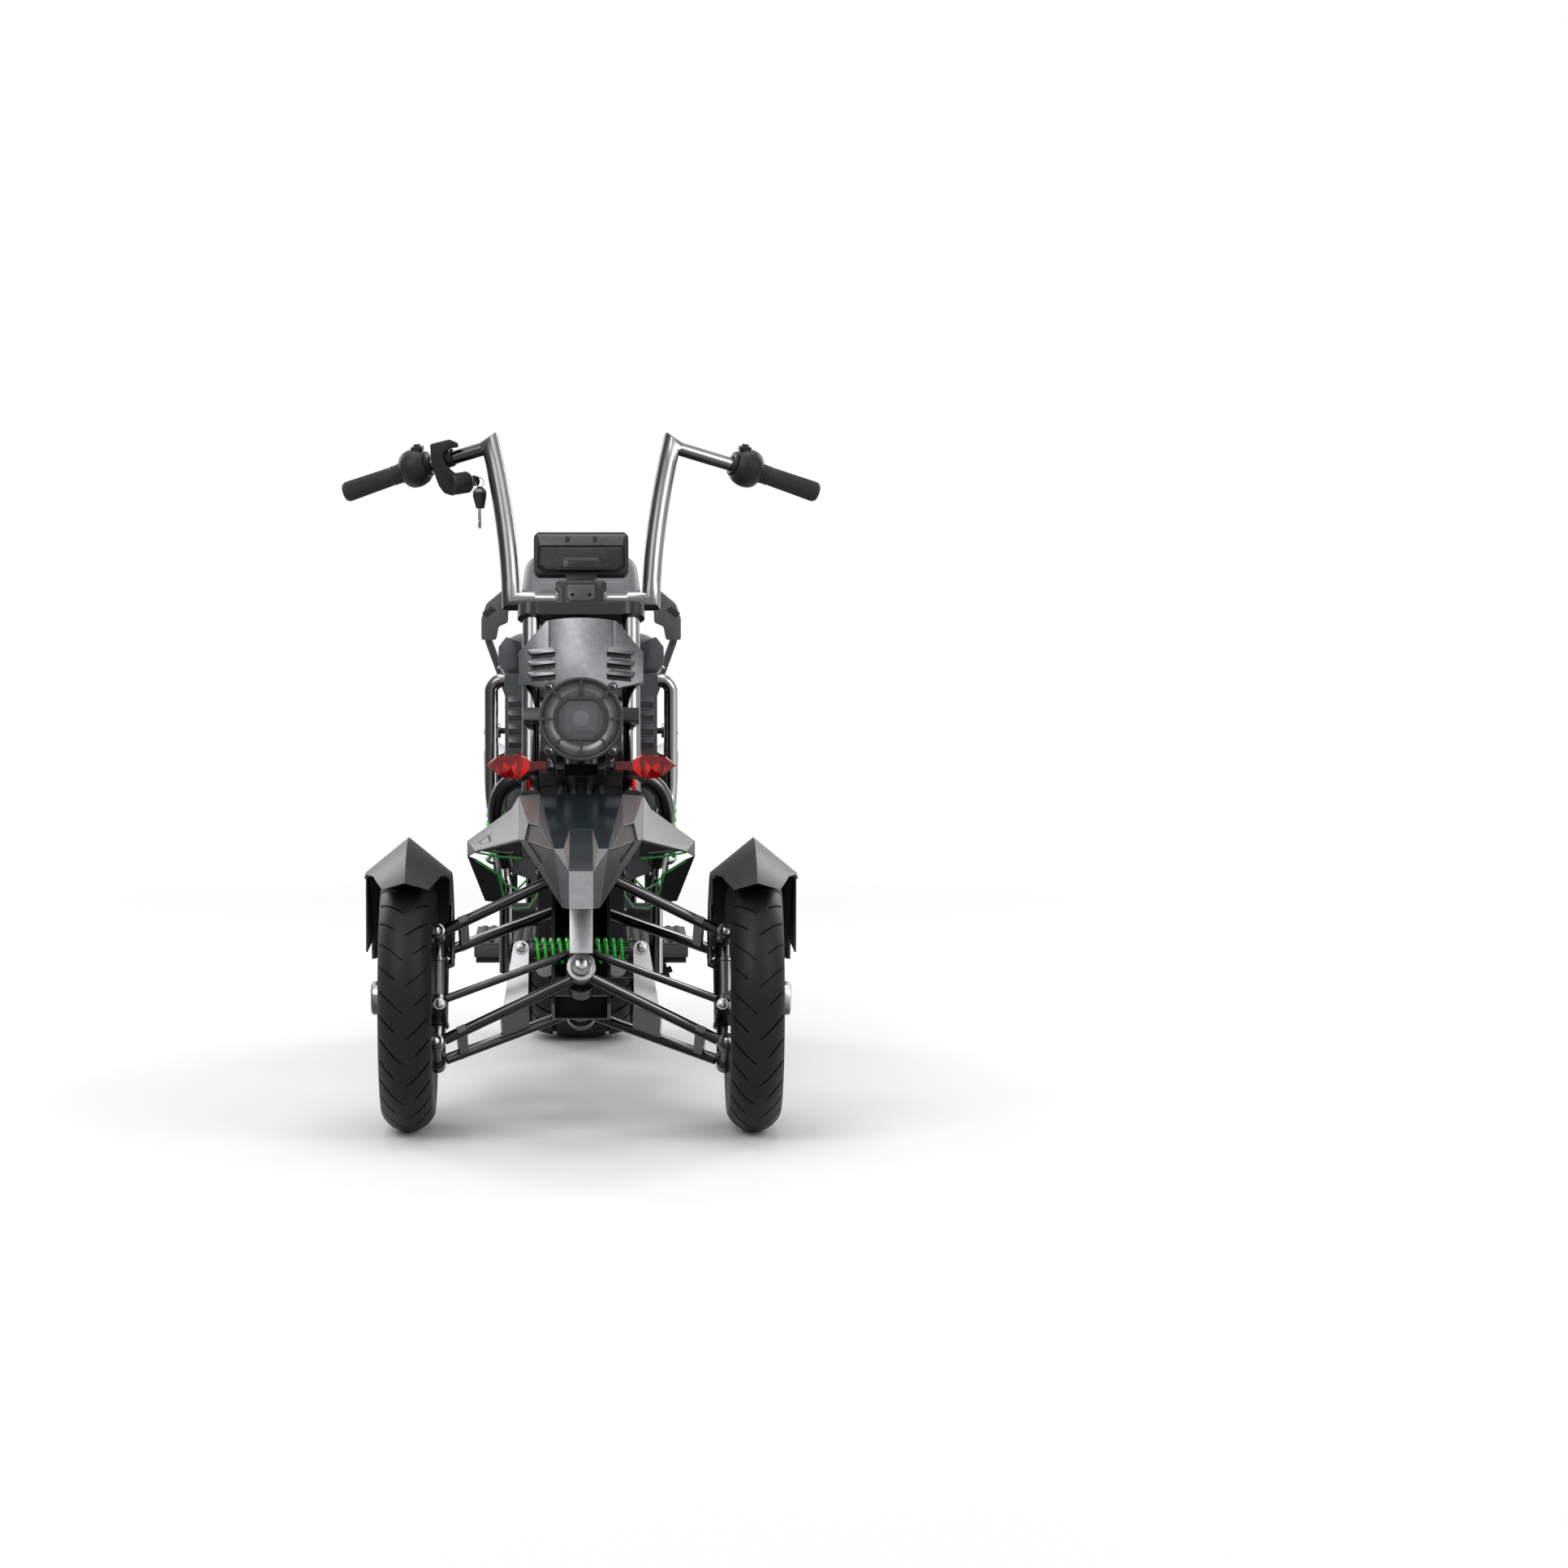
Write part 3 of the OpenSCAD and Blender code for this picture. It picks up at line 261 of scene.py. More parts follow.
# dust: a pale film where a surface looks up
dustGroup, dustIn, dustOut = newGroup("restingDust", [("Vector", "NodeSocketVector"),
    ("Amount", "NodeSocketFloat"), ("Tone", "NodeSocketColor")], [("Color", "NodeSocketColor")])
dustSide = dustGroup.nodes.new("ShaderNodeNewGeometry")
dustSplit = dustGroup.nodes.new("ShaderNodeSeparateXYZ")
dustGroup.links.new(dustSide.outputs["Normal"], dustSplit.inputs[0])
dustUp = rangeNode(dustGroup, dustSplit.outputs["Z"], 0.1, 1.0, 0.0, 1.0)
dustPatch = rangeNode(dustGroup, noiseNode(dustGroup, dustIn.outputs["Vector"], 14.0), 0.35, 0.7, 0.2, 1.0)
dustShare = mathNode(dustGroup, "MULTIPLY", mathNode(dustGroup, "MULTIPLY", dustUp, dustPatch),
    dustIn.outputs["Amount"])
dustGroup.links.new(mixColour(dustGroup, dustShare, dustIn.outputs["Tone"], (0.42, 0.41, 0.39)),
    dustOut.inputs["Color"])


def groupNode(tree, group, mapping, values):
    node = tree.nodes.new("ShaderNodeGroup")
    node.node_tree = group
    link(tree, mapping, 0, node, "Vector")
    for label, value in values.items():
        node.inputs[label].default_value = value
    return node


def worn(edge, rub, level):
    # rubbed edges: their width in millimetres, how strong, and the grey that shows
    return {"edge": edge / 1000, "rub": rub, "bare": (level, level, level)}


def finish(name, tone, rough, metal=0.0, grain=500.0, shade=0.35, spread=0.12, bump=0.12, depth=0.0002,
    edge=0.0, rub=0.0, bare=(0.3, 0.3, 0.31), dust=0.0, coat=0.0, coatRough=0.08, stretch=(1, 1, 1),
    sheen=0.0, specular=0.5, paintedLightBands=()):
    material = bpy.data.materials.new(name)
    material.use_nodes = True
    tree = material.node_tree
    shader = tree.nodes["Principled BSDF"]
    for label, value in (("Metallic", metal), ("Coat Weight", coat), ("Coat Roughness", coatRough),
        ("Sheen Weight", sheen), ("Specular IOR Level", specular)):
        shader.inputs[label].default_value = value
    coords = tree.nodes.new("ShaderNodeTexCoord")
    mapping = tree.nodes.new("ShaderNodeMapping")
    mapping.inputs["Scale"].default_value = stretch
    link(tree, coords, "Object", mapping, "Vector")
    speck = groupNode(tree, grainGroup, mapping, {"Scale": grain, "Tone": (*tone, 1), "Shade": shade,
        "Rough": rough, "Spread": spread})
    colour = speck.outputs["Color"]
    if paintedLightBands:
        # painted highlight and painted shade: dark and light bands round a polished tube, set by the way the
        # surface faces one fixed direction, multiplied into the colour
        facing = tree.nodes.new("ShaderNodeNewGeometry")
        across = tree.nodes.new("ShaderNodeVectorMath")
        across.operation = "DOT_PRODUCT"
        across.inputs[1].default_value = (0.8, 0, 0.6)
        link(tree, facing, "Normal", across, 0)
        paintedLightRamp = tree.nodes.new("ShaderNodeValToRGB")
        for stop, (spot, level) in enumerate(paintedLightBands):
            band = paintedLightRamp.color_ramp.elements[stop] if stop < 2 else paintedLightRamp.color_ramp.elements.new(spot)
            band.position = spot
            band.color = (level, level, level, 1)
        tree.links.new(rangeNode(tree, across.outputs["Value"], -1.0, 1.0, 0.0, 1.0), paintedLightRamp.inputs[0])
        colour = mixColour(tree, 1.0, colour, paintedLightRamp.outputs[0], "MULTIPLY")
    height = tree.nodes.new("ShaderNodeBump")
    height.inputs["Strength"].default_value = bump
    height.inputs["Distance"].default_value = depth
    link(tree, speck, "Height", height, "Height")
    if edge:
        rim = groupNode(tree, edgeGroup, mapping, {"Radius": edge, "Amount": rub, "Bare": (*bare, 1)})
        tree.links.new(colour, rim.inputs["Tone"])
        colour = rim.outputs["Color"]
        link(tree, rim, "Normal", height, "Normal")
    if dust:
        film = groupNode(tree, dustGroup, mapping, {"Amount": dust})
        tree.links.new(colour, film.inputs["Tone"])
        colour = film.outputs["Color"]
    tree.links.new(colour, shader.inputs["Base Color"])
    link(tree, speck, "Roughness", shader, "Roughness")
    link(tree, height, 0, shader, "Normal")
    return material


# painted highlight and painted shade: band levels set by facing, used by chromeTube, forkChrome, sleeveGrey,
# gunMetal and loopBlack; levels above one brighten the colour as a painted highlight
tubePaintedLight = ((0.0, 0.16), (0.22, 0.035), (0.44, 0.08), (0.62, 0.22), (0.75, 0.72), (0.84, 0.34),
    (1.0, 0.07))
armPaintedLight = ((0.0, 0.5), (0.3, 0.12), (0.55, 0.3), (0.68, 1.0), (0.76, 3.6), (0.84, 1.2), (1.0, 0.4))
frameBlack = finish("frameBlack", (0.007, 0.007, 0.008), 0.38, grain=900, bump=0.25,
    **worn(1.5, 0.25, 0.12), dust=0.02, specular=0.28)
satinBlack = finish("satinBlack", (0.006, 0.006, 0.007), 0.46, grain=1400, bump=0.3, depth=0.0003,
    **worn(1.2, 0.3, 0.1), dust=0.015, specular=0.25)
clampBlack = finish("clampBlack", (0.006, 0.006, 0.007), 0.3, grain=1200, bump=0.15, **worn(1.8, 0.4, 0.14),
    specular=0.35)
fenderPaint = finish("fenderPaint", (0.030, 0.031, 0.033), 0.42, specular=0.3, grain=1800, bump=0.2,
    **worn(1.5, 0.5, 0.2), dust=0.04)
bodyGrey = finish("bodyGrey", (0.052, 0.060, 0.064), 0.36, metal=0.25, grain=2200, spread=0.08, bump=0.12,
    edge=0.002, rub=0.4, bare=(0.3, 0.32, 0.33), coat=0.25)
wingGrey = finish("wingGrey", (0.105, 0.108, 0.11), 0.4, metal=0.2, specular=0.3, grain=2200, spread=0.08,
    bump=0.12, **worn(1.6, 0.45, 0.3))
tipGrey = finish("tipGrey", (0.30, 0.305, 0.31), 0.4, metal=0.2, specular=0.35, grain=2200, spread=0.08,
    bump=0.1, **worn(1.2, 0.3, 0.6))
noseSmoke = finish("noseSmoke", (0.010, 0.016, 0.018), 0.2, grain=600, shade=0.5, spread=0.06, bump=0.04,
    edge=0.0015, rub=0.15, specular=0.45)
noseFacet = finish("noseFacet", (0.034, 0.032, 0.031), 0.4, grain=1600, bump=0.1, **worn(1, 0.4, 0.15),
    specular=0.25)
chromeTube = finish("chromeTube", (0.72, 0.72, 0.73), 0.24, metal=1.0, grain=700, shade=0.25, spread=0.08,
    bump=0.05, stretch=(1, 1, 0.1), paintedLightBands=tubePaintedLight)
forkChrome = finish("forkChrome", (0.85, 0.85, 0.86), 0.14, metal=1.0, grain=700, shade=0.2, spread=0.06,
    bump=0.04, stretch=(1, 1, 0.1), paintedLightBands=tubePaintedLight)
# painted shade: near black for the insides of the clamp's holes
paintedHoleShade = finish("paintedHoleShade", (0.002, 0.002, 0.002), 0.8, grain=900, bump=0.02, specular=0.05)
gunMetal = finish("gunMetal", (0.12, 0.12, 0.124), 0.24, metal=1.0, grain=900, shade=0.35, spread=0.12,
    bump=0.1, **worn(1, 0.4, 0.3), paintedLightBands=armPaintedLight)
loopBlack = finish("loopBlack", (0.05, 0.05, 0.052), 0.28, metal=0.8, grain=900, bump=0.08,
    paintedLightBands=armPaintedLight)
displayBand = finish("displayBand", (0.05, 0.05, 0.051), 0.36, grain=1400, bump=0.15, edge=0.001, rub=0.3,
    specular=0.35)
# shroudGrey carries painted highlight and painted shade bands, set by facing
shroudGrey = finish("shroudGrey", (0.22, 0.23, 0.235), 0.36, metal=0.4, grain=2200, spread=0.08, bump=0.1,
    edge=0.0015, rub=0.4, bare=(0.3, 0.32, 0.33), specular=0.4,
    paintedLightBands=((0.0, 0.22), (0.4, 0.24), (0.52, 0.5), (0.63, 1.5), (0.72, 0.8), (0.84, 0.3), (1.0, 0.2)))
reflectorGrey = finish("reflectorGrey", (0.17, 0.17, 0.172), 0.3, metal=0.8, grain=900, bump=0.03)
ringGrey = finish("ringGrey", (0.034, 0.034, 0.035), 0.4, grain=1400, bump=0.1, **worn(1, 0.4, 0.12),
    specular=0.35)
windowGlass = finish("windowGlass", (0.030, 0.031, 0.033), 0.12, grain=90, shade=0.5, spread=0.02, bump=0.0,
    specular=0.3)
stripGrey = finish("stripGrey", (0.10, 0.103, 0.106), 0.38, metal=0.2, grain=2200, bump=0.1,
    **worn(1, 0.5, 0.3), specular=0.35)
cheekGrey = finish("cheekGrey", (0.050, 0.051, 0.053), 0.4, grain=2200, bump=0.1, **worn(1, 0.5, 0.2),
    specular=0.3)
lensBrown = finish("lensBrown", (0.046, 0.038, 0.033), 0.55, grain=1600, bump=0.05, specular=0.12)
grabGrey = finish("grabGrey", (0.075, 0.076, 0.078), 0.42, grain=1400, bump=0.2, **worn(1.5, 0.5, 0.2),
    specular=0.35)
silverPlate = finish("silverPlate", (0.60, 0.60, 0.61), 0.42, metal=0.75, grain=1500, shade=0.15,
    spread=0.1, bump=0.12, **worn(0.8, 0.4, 0.85))
# brightSteel carries painted highlight and painted shade bands, set by facing
brightSteel = finish("brightSteel", (0.62, 0.62, 0.63), 0.22, metal=1.0, grain=1200, shade=0.2, spread=0.1,
    bump=0.05, paintedLightBands=((0.0, 0.25), (0.3, 0.12), (0.5, 0.32), (0.68, 0.9), (0.8, 1.3), (1.0, 0.4)))
sleeveGrey = finish("sleeveGrey", (0.30, 0.30, 0.31), 0.3, metal=1.0, grain=1400, shade=0.3, bump=0.1,
    paintedLightBands=tubePaintedLight)
castAlloy = finish("castAlloy", (0.42, 0.42, 0.43), 0.36, metal=0.9, grain=1400, shade=0.3, spread=0.12,
    bump=0.25, **worn(1.2, 0.4, 0.75))
springGreen = finish("springGreen", (0.010, 0.52, 0.022), 0.3, grain=900, shade=0.25, bump=0.12, coat=0.5)
trimGreen = finish("trimGreen", (0.012, 0.26, 0.020), 0.4, grain=1200, bump=0.15)
gripRubber = finish("gripRubber", (0.009, 0.009, 0.009), 0.55, specular=0.3, grain=2600, bump=0.45,
    depth=0.0003, spread=0.15)
tyreRubber = finish("tyreRubber", (0.006, 0.006, 0.006), 0.46, grain=2200, bump=0.3, depth=0.0003,
    shade=0.4, spread=0.12, dust=0.006, specular=0.2)
seatLeather = finish("seatLeather", (0.115, 0.120, 0.124), 0.46, grain=900, bump=0.55, depth=0.0006,
    shade=0.35, spread=0.14, coat=0.1, sheen=0.1)
boardRubber = finish("boardRubber", (0.06, 0.061, 0.063), 0.55, grain=1500, bump=0.4, depth=0.0003,
    edge=0.0012, rub=0.3, dust=0.06)
lampDark = finish("lampDark", (0.010, 0.010, 0.011), 0.34, grain=900, bump=0.1, **worn(1, 0.3, 0.12),
    specular=0.35)
batteryBlack = finish("batteryBlack", (0.012, 0.012, 0.013), 0.45, specular=0.3, grain=1400, bump=0.35,
    depth=0.0003, edge=0.0025, rub=0.25, dust=0.04)


def clearFinish(name, tone, rough, through, ior=1.49, alpha=1.0):
    material = finish(name, tone, rough, grain=700, shade=0.12, spread=0.03, bump=0.02)
    shader = material.node_tree.nodes["Principled BSDF"]
    shader.inputs["Transmission Weight"].default_value = through
    shader.inputs["IOR"].default_value = ior
    shader.inputs["Alpha"].default_value = alpha
    return material


lensClear = clearFinish("lensClear", (0.42, 0.43, 0.44), 0.06, 0.0, 1.49, 0.2)
lensRed = clearFinish("lensRed", (0.60, 0.004, 0.004), 0.05, 0.85, 1.42)
lensTail = clearFinish("lensTail", (0.5, 0.01, 0.01), 0.12, 0.35)
print("finishes done")


# modelling steps; every step adds to a piece's bmesh
def pour(part, piece):
    step = bpy.data.meshes.new("step")
    part.to_mesh(step)
    part.free()
    piece.from_mesh(step)
    bpy.data.meshes.remove(step)


def addTo(piece, part, place=None, tone=0):
    bmesh.ops.remove_doubles(part, verts=part.verts, dist=1e-6)
    if place is not None:
        bmesh.ops.transform(part, matrix=place, verts=part.verts)
    bmesh.ops.recalc_face_normals(part, faces=part.faces)
    for face in part.faces:
        face.material_index = tone
        face.smooth = True
    pour(part, piece)


def closeHoles(part):
    rim = [edge for edge in part.edges if edge.is_boundary]
    if rim:
        bmesh.ops.holes_fill(part, edges=rim, sides=0)


def softenEdges(part, width, segments=2, angle=30):
    limit = math.radians(angle)
    sharp = [edge for edge in part.edges if len(edge.link_faces) == 2 and edge.calc_face_angle() > limit]
    bmesh.ops.bevel(part, geom=sharp, offset=width / 1000, affect="EDGES", segments=segments, profile=0.5,
        material=-1, clamp_overlap=True)


def drawOut(part, faces, way):
    lifted = bmesh.ops.extrude_face_region(part, geom=faces)["geom"]
    bmesh.ops.translate(part, vec=way, verts=[item for item in lifted if isinstance(item, BMVert)])
    closeHoles(part)
    bmesh.ops.recalc_face_normals(part, faces=part.faces)


def spinRound(part, geom, steps):
    bmesh.ops.spin(part, geom=geom, cent=(0, 0, 0), axis=(0, 0, 1), angle=2 * math.pi, steps=steps,
        use_merge=True)


def lathe(piece, profile, place, steps=48, tone=0):
    # profile points are radius and height along the axis
    part = bmesh.new()
    points = [part.verts.new((radius / 1000, 0, height / 1000)) for radius, height in profile]
    lines = [part.edges.new(pair) for pair in zip(points, points[1:])]
    spinRound(part, points + lines, steps)
    addTo(piece, part, place, tone)


def tube(piece, points, radius, around=24, tone=0):
    # each ring slides along its straight to the plane that halves the corner, so corners are mitred
    part = bmesh.new()
    points = [Vector(point) for point in points]
    ways = [(b - a).normalized() for a, b in zip(points, points[1:])]
    mouth = axisFrame(points[0], ways[0], ways[0].orthogonal())
    bmesh.ops.create_circle(part, radius=radius / 1000, segments=around, matrix=mouth)
    loop = part.edges[:]
    for step, way in enumerate(ways):
        grown = bmesh.ops.extrude_edge_only(part, edges=loop)["geom"]
        ring = {item for item in grown if isinstance(item, BMVert)}
        loop = [item for item in grown if isinstance(item,
            BMEdge) and item.verts[0] in ring and item.verts[1] in ring]
        corner = points[step + 1]
        normal = way if step == len(ways) - 1 else (way + ways[step + 1]).normalized()
        for vert in ring:
            vert.co += way * ((corner - vert.co).dot(normal) / way.dot(normal))
    closeHoles(part)
    addTo(piece, part, None, tone)


def plate(piece, outline, depth, place, edge, tone=0, segments=2):
    # outline in the place's own x and y, drawn out along its z
    part = bmesh.new()
    face = part.faces.new([part.verts.new((x / 1000, y / 1000, 0)) for x, y in outline])
    drawOut(part, [face], (0, 0, depth / 1000))
    softenEdges(part, edge, segments)
    addTo(piece, part, place, tone)


def hexBolt(piece, origin, along, size, height, tone=0):
    part = bmesh.new()
    bmesh.ops.create_circle(part, cap_ends=True, radius=size / 1000, segments=6)
    drawOut(part, part.faces[:], (0, 0, height / 1000))
    softenEdges(part, size * 0.12)
    addTo(piece, part, axisFrame(origin, along), tone)
    wide, thick = size * 1.3, height * 0.2  # washer
    lathe(piece, [(0, 0), (wide, 0), (wide, thick), (0, thick)], axisFrame(origin, along), 20, tone)


def facets(piece, points, edge=0.0, tone=0):
    # flat sided body over a handful of corners
    part = bmesh.new()
    for point in points:
        part.verts.new(point)
    bmesh.ops.convex_hull(part, input=part.verts)
    bmesh.ops.dissolve_limit(part, angle_limit=0.02, verts=part.verts, edges=part.edges)
    if edge:
        softenEdges(part, edge, 2, 8)
    addTo(piece, part, None, tone)


def coilWire(piece, origin, along, coilRadius, wire, turns, height, perTurn=28):
    part = bmesh.new()
    bmesh.ops.create_circle(part, radius=wire / 1000, segments=10,
        matrix=Matrix.Translation((coilRadius / 1000, 0, 0)) @ Matrix.Rotation(math.pi / 2, 4, "X"))
    steps = int(turns * perTurn)
    bmesh.ops.spin(part, geom=part.verts[:] + part.edges[:], cent=(0, 0, 0), axis=(0, 0, 1),
        dvec=(0, 0, height / 1000 / steps), angle=2 * math.pi * turns, steps=steps, use_merge=False)
    closeHoles(part)
    addTo(piece, part, axisFrame(origin, along))


def bothSides(piece):
    twin = piece.copy()
    bmesh.ops.mirror(twin, geom=twin.verts[:] + twin.edges[:] + twin.faces[:], axis="X", merge_dist=-1)
    piece.clear()
    pour(twin, piece)
    bmesh.ops.recalc_face_normals(piece, faces=piece.faces)


def finishPiece(name, piece, finishes, body, stands, angle=32):
    mesh = bpy.data.meshes.new(name)
    piece.to_mesh(mesh)
    piece.free()
    for material in finishes:
        mesh.materials.append(material)
    mesh.shade_smooth()
    mesh.set_sharp_from_angle(angle=math.radians(angle))
    thing = show(name, mesh)
    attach(thing, body)
    if stands:
        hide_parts(*stands)


def dress(material, *names):
    for name in names:
        nodes[name].material_slots[0].material = material


# finishes of the solids that show as they are
dress(frameBlack, "main_frame", "floor_frame", "seat_frame", "swingarm", "side_stand")
dress(gunMetal, "upper_arms", "lower_arms", "uprights", "tie_rod_left", "tie_rod_right", "dampers")
dress(silverPlate, "spring_levers")
dress(sleeveGrey, "knuckle_left", "knuckle_right")
dress(clampBlack, "fork_clamps", "front_column")
dress(bodyGrey, "leg_shield")
dress(batteryBlack, "battery_case")
dress(forkChrome, "fork_tubes")
dress(boardRubber, "footboards")
dress(lensTail, "rear_lamps")
dress(fenderPaint, "fender_left", "fender_right", "rear_fender")
print("solids dressed")


# tyres: a spun section, then slanted grooves pressed in along the columns of the mesh
def spinTyre(name, centre, section, plan, body, node):
    piece = bmesh.new()
    part = bmesh.new()
    points = [part.verts.new((radius / 1000, 0, side / 1000)) for radius, side in section]
    lines = [part.edges.new(pair) for pair in zip(points, points[1:] + points[:1])]
    columns = plan["columns"]
    steps = plan["slashes"] * columns
    spinRound(part, points + lines, steps)
    bmesh.ops.remove_doubles(part, verts=part.verts, dist=1e-6)
    period = 2 * math.pi / plan["slashes"]
    for vert in part.verts:
        column = round(math.atan2(vert.co.y, vert.co.x) / (2 * math.pi / steps)) % steps
        count, place = divmod(column, columns)
        radius, side = math.hypot(vert.co.x, vert.co.y) * 1000, vert.co.z * 1000
        out = min(abs(side) / plan["half"], 1.0)
        wide = (plan["narrow"] + (plan["wide"] - plan["narrow"]) * out) / plan["radius"]
        lip = wide + plan["lip"] / plan["radius"]
        if place < 4:
            turn = (-lip, -wide, wide, lip)[place]
        else:
            turn = lip + (period - 2 * lip) * (place - 3) / (columns - 3)
        inner = plan["inner"][(count + (side > 0)) % 2]
        press = 0.0
        if place in (1, 2) and radius > plan["treadFrom"] and inner < out < plan["outer"]:
            press = plan["depth"] * min(1.0, (out - inner) / 0.1, (plan["outer"] - out) / 0.08)
        turn += count * period - plan["rise"] * out ** 1.2 / plan["radius"]
        radius -= press
        vert.co = Vector((radius * math.cos(turn), radius * math.sin(turn), side)) / 1000
    addTo(piece, part, axisFrame(centre, (1, 0, 0), (0, 0, 1)))
    finishPiece(name, piece, [tyreRubber], body, (node,), 38)


frontTread = {"lip": 0.7, "radius": 233.5, "half": 46.0, "slashes": 32, "columns": 12, "narrow": 0.7,
    "wide": 2.6, "rise": 44.0, "depth": 4.2, "inner": (0.03, 0.36), "outer": 0.95, "treadFrom": 200.0}
frontWall = [(198, 46), (194, 45.9), (190, 45.3), (187, 45.2), (185.5, 44.2), (178, 42.0), (170, 39.5),
    (163, 37.2), (158, 36.4), (154, 34.4), (152.7, 32.0), (152.6, 24)]
crownPlan = {"front": 50.0, "reach": 66.9, "steps": 40, "rear": 330.0, "shoulder": 84.0}
crownSteps = crownPlan["steps"]
crownTurns = [math.radians(crownPlan["reach"] * (1 - 2 * step / crownSteps))
    for step in range(crownSteps + 1)]
crownMiddle = drawing["frontRadius"] - crownPlan["front"]
frontArc = [(crownMiddle + crownPlan["front"] * math.cos(turn), crownPlan["front"] * math.sin(turn))
    for turn in crownTurns]
frontSection = frontWall[::-1] + frontArc + [(r, -x) for r, x in frontWall]
for sideName, sign in sides:
    spinTyre("tyre_" + sideName + "_treaded", at(sign * drawing["wheelX"], 0, drawing["frontRadius"]),
        frontSection, frontTread, sideName + "_wheel", "tyre_" + sideName)

rearTread = {"lip": 0.7, "radius": 235.0, "half": 111.0, "slashes": 30, "columns": 10, "narrow": 1.4,
    "wide": 3.4, "rise": 58.0, "depth": 6.0, "inner": (0.06, 0.53), "outer": 0.97, "treadFrom": 206.0}
rearWall = [(212, 106.5), (206, 109.4), (198, 110.8), (190, 111), (182, 110.4), (180, 110.6), (177, 109),
    (166, 105.5), (155, 101), (144, 94), (136, 87), (130, 82.5), (127.6, 78), (127.5, 60)]
rearHalf = [101.5, 96, 90, 82, 74, 66, 58.2, 57.2, 49.8, 48.8, 42, 35, 28, 21, 14, 7]
rearDip = {57.2: 7.0, 49.8: 7.0}


def rearCrown(side):
    drop = max(0.0, abs(side) - crownPlan["shoulder"]) ** 2 / 28
    rise = math.sqrt(crownPlan["rear"] ** 2 - side ** 2) - crownPlan["rear"]
    return (drawing["rearRadius"] + rise - drop - rearDip.get(abs(side), 0.0), side)


rearArc = [rearCrown(x) for x in rearHalf] + [rearCrown(0.0)] + [rearCrown(-x) for x in rearHalf[::-1]]
rearSection = rearWall[::-1] + rearArc + [(r, -x) for r, x in rearWall]
spinTyre("tyre_rear_treaded", at(0, drawing["wheelbase"], drawing["rearRadius"]), rearSection, rearTread,
    "rear_wheel", "tyre_rear")
print("tyres done")

# front wheels: barrel, five split spokes, hub and cap
rimPlan = {"spokes": 5, "spokeDepth": 14.0, "spokeFrom": 8.0, "boltCircle": 19.5, "boltFace": 63.5,
    "barrel": [(144.5, -33), (152.2, -33), (152.2, -29), (148.5, -24), (146.5, -8), (146.5, 8), (148.5, 24),
    (152.2, 29), (152.2, 33), (144.5, 33), (142.5, 26), (141, 0), (142.5, -26), (144.5, -33)],
    "spoke": [(24, 1.5), (60, 3), (100, 6), (143, 14), (143, 24), (100, 14.5), (60, 11), (24, 13)],
    "hub": [(10.2, -22), (30, -22), (30, -16), (26, -12), (26, 20), (29, 26), (24, 34), (22, 40), (22, 44),
    (30, 44.5), (30, 61), (28.5, 64), (24, 66), (21, 66), (20, 64), (0, 64)]}


def boltRing(piece, hub, bolts, start, circle, height, size, tall):
    way = hub.to_3x3() @ Vector((0, 0, 1))
    for count in range(bolts):
        turn = 2 * math.pi * (count + start) / bolts
        spot = hub @ (Vector((circle * math.cos(turn), circle * math.sin(turn), height)) / 1000)
        hexBolt(piece, spot, way, size, tall, 1)


for sideName, sign in sides:
    piece = bmesh.new()
    hub = axisFrame(at(sign * drawing["wheelX"], 0, drawing["frontRadius"]), (sign, 0, 0), (0, 0, 1))
    lathe(piece, rimPlan["barrel"], hub, 72)
    lathe(piece, rimPlan["hub"], hub, 40, 1)
    for count in range(rimPlan["spokes"]):
        spoke = raised(turned(hub, 360 * count / rimPlan["spokes"]), rimPlan["spokeFrom"])
        for flip in (-1, 1):
            outline = [(x, y * flip) for x, y in rimPlan["spoke"]]
            plate(piece, outline[::flip], rimPlan["spokeDepth"], spoke, 2.0)
    boltRing(piece, hub, rimPlan["spokes"], 0.5, rimPlan["boltCircle"], rimPlan["boltFace"], 2.6, 2.4)
    finishPiece("rim_" + sideName + "_spoked", piece, [castAlloy, brightSteel], sideName + "_wheel",
        ("rim_" + sideName,))

# rear wheel: barrel, ribbed motor covers, axle and bolts
motorPlan = {"ribs": 16, "rib": [(53, -1.6), (76, -2.2), (76, 2.2), (53, 1.6)], "ribFace": 70.5, "bolts": 8,
    "boltCircle": 85.5, "boltFace": 74.4, "barrel": [(117.5, -79.5), (126.6, -79.5), (126.6, -72),
    (121, -62), (119.5, 0), (121, 62), (126.6, 72), (126.6, 79.5), (117.5, 79.5), (115, 70), (114, 31),
    (92, 30), (92, -30), (114, -31), (115, -70), (117.5, -79.5)],
    "cover": [(0, 79), (16, 79), (18, 77), (18, 73), (30, 73), (33, 75), (48, 75), (51, 72.5), (78, 71),
    (82, 74.5), (89, 74.5), (92, 71), (92, 30), (114, 29), (114, 0)],
    "axle": [(0, 149), (7.5, 149), (9, 147.5), (9, 76), (0, 76)]}
piece = bmesh.new()
rearAxle = at(0, drawing["wheelbase"], drawing["rearRadius"])
for sign in (-1, 1):
    hub = axisFrame(rearAxle, (sign, 0, 0), (0, 0, 1))
    lathe(piece, motorPlan["cover"], hub, 64)
    lathe(piece, motorPlan["axle"], hub, 24, 1)
    for count in range(motorPlan["ribs"]):
        plate(piece, motorPlan["rib"], 5, raised(turned(hub, 360 * count / motorPlan["ribs"]),
            motorPlan["ribFace"]), 0.8)
    boltRing(piece, hub, motorPlan["bolts"], 0.25, motorPlan["boltCircle"], motorPlan["boltFace"], 3.2, 3)
lathe(piece, motorPlan["barrel"], axisFrame(rearAxle, (1, 0, 0), (0, 0, 1)), 72)
finishPiece("motor_wheel_ribbed", piece, [castAlloy, brightSteel], "rear_wheel", ("motor_wheel",))
print("wheels done")

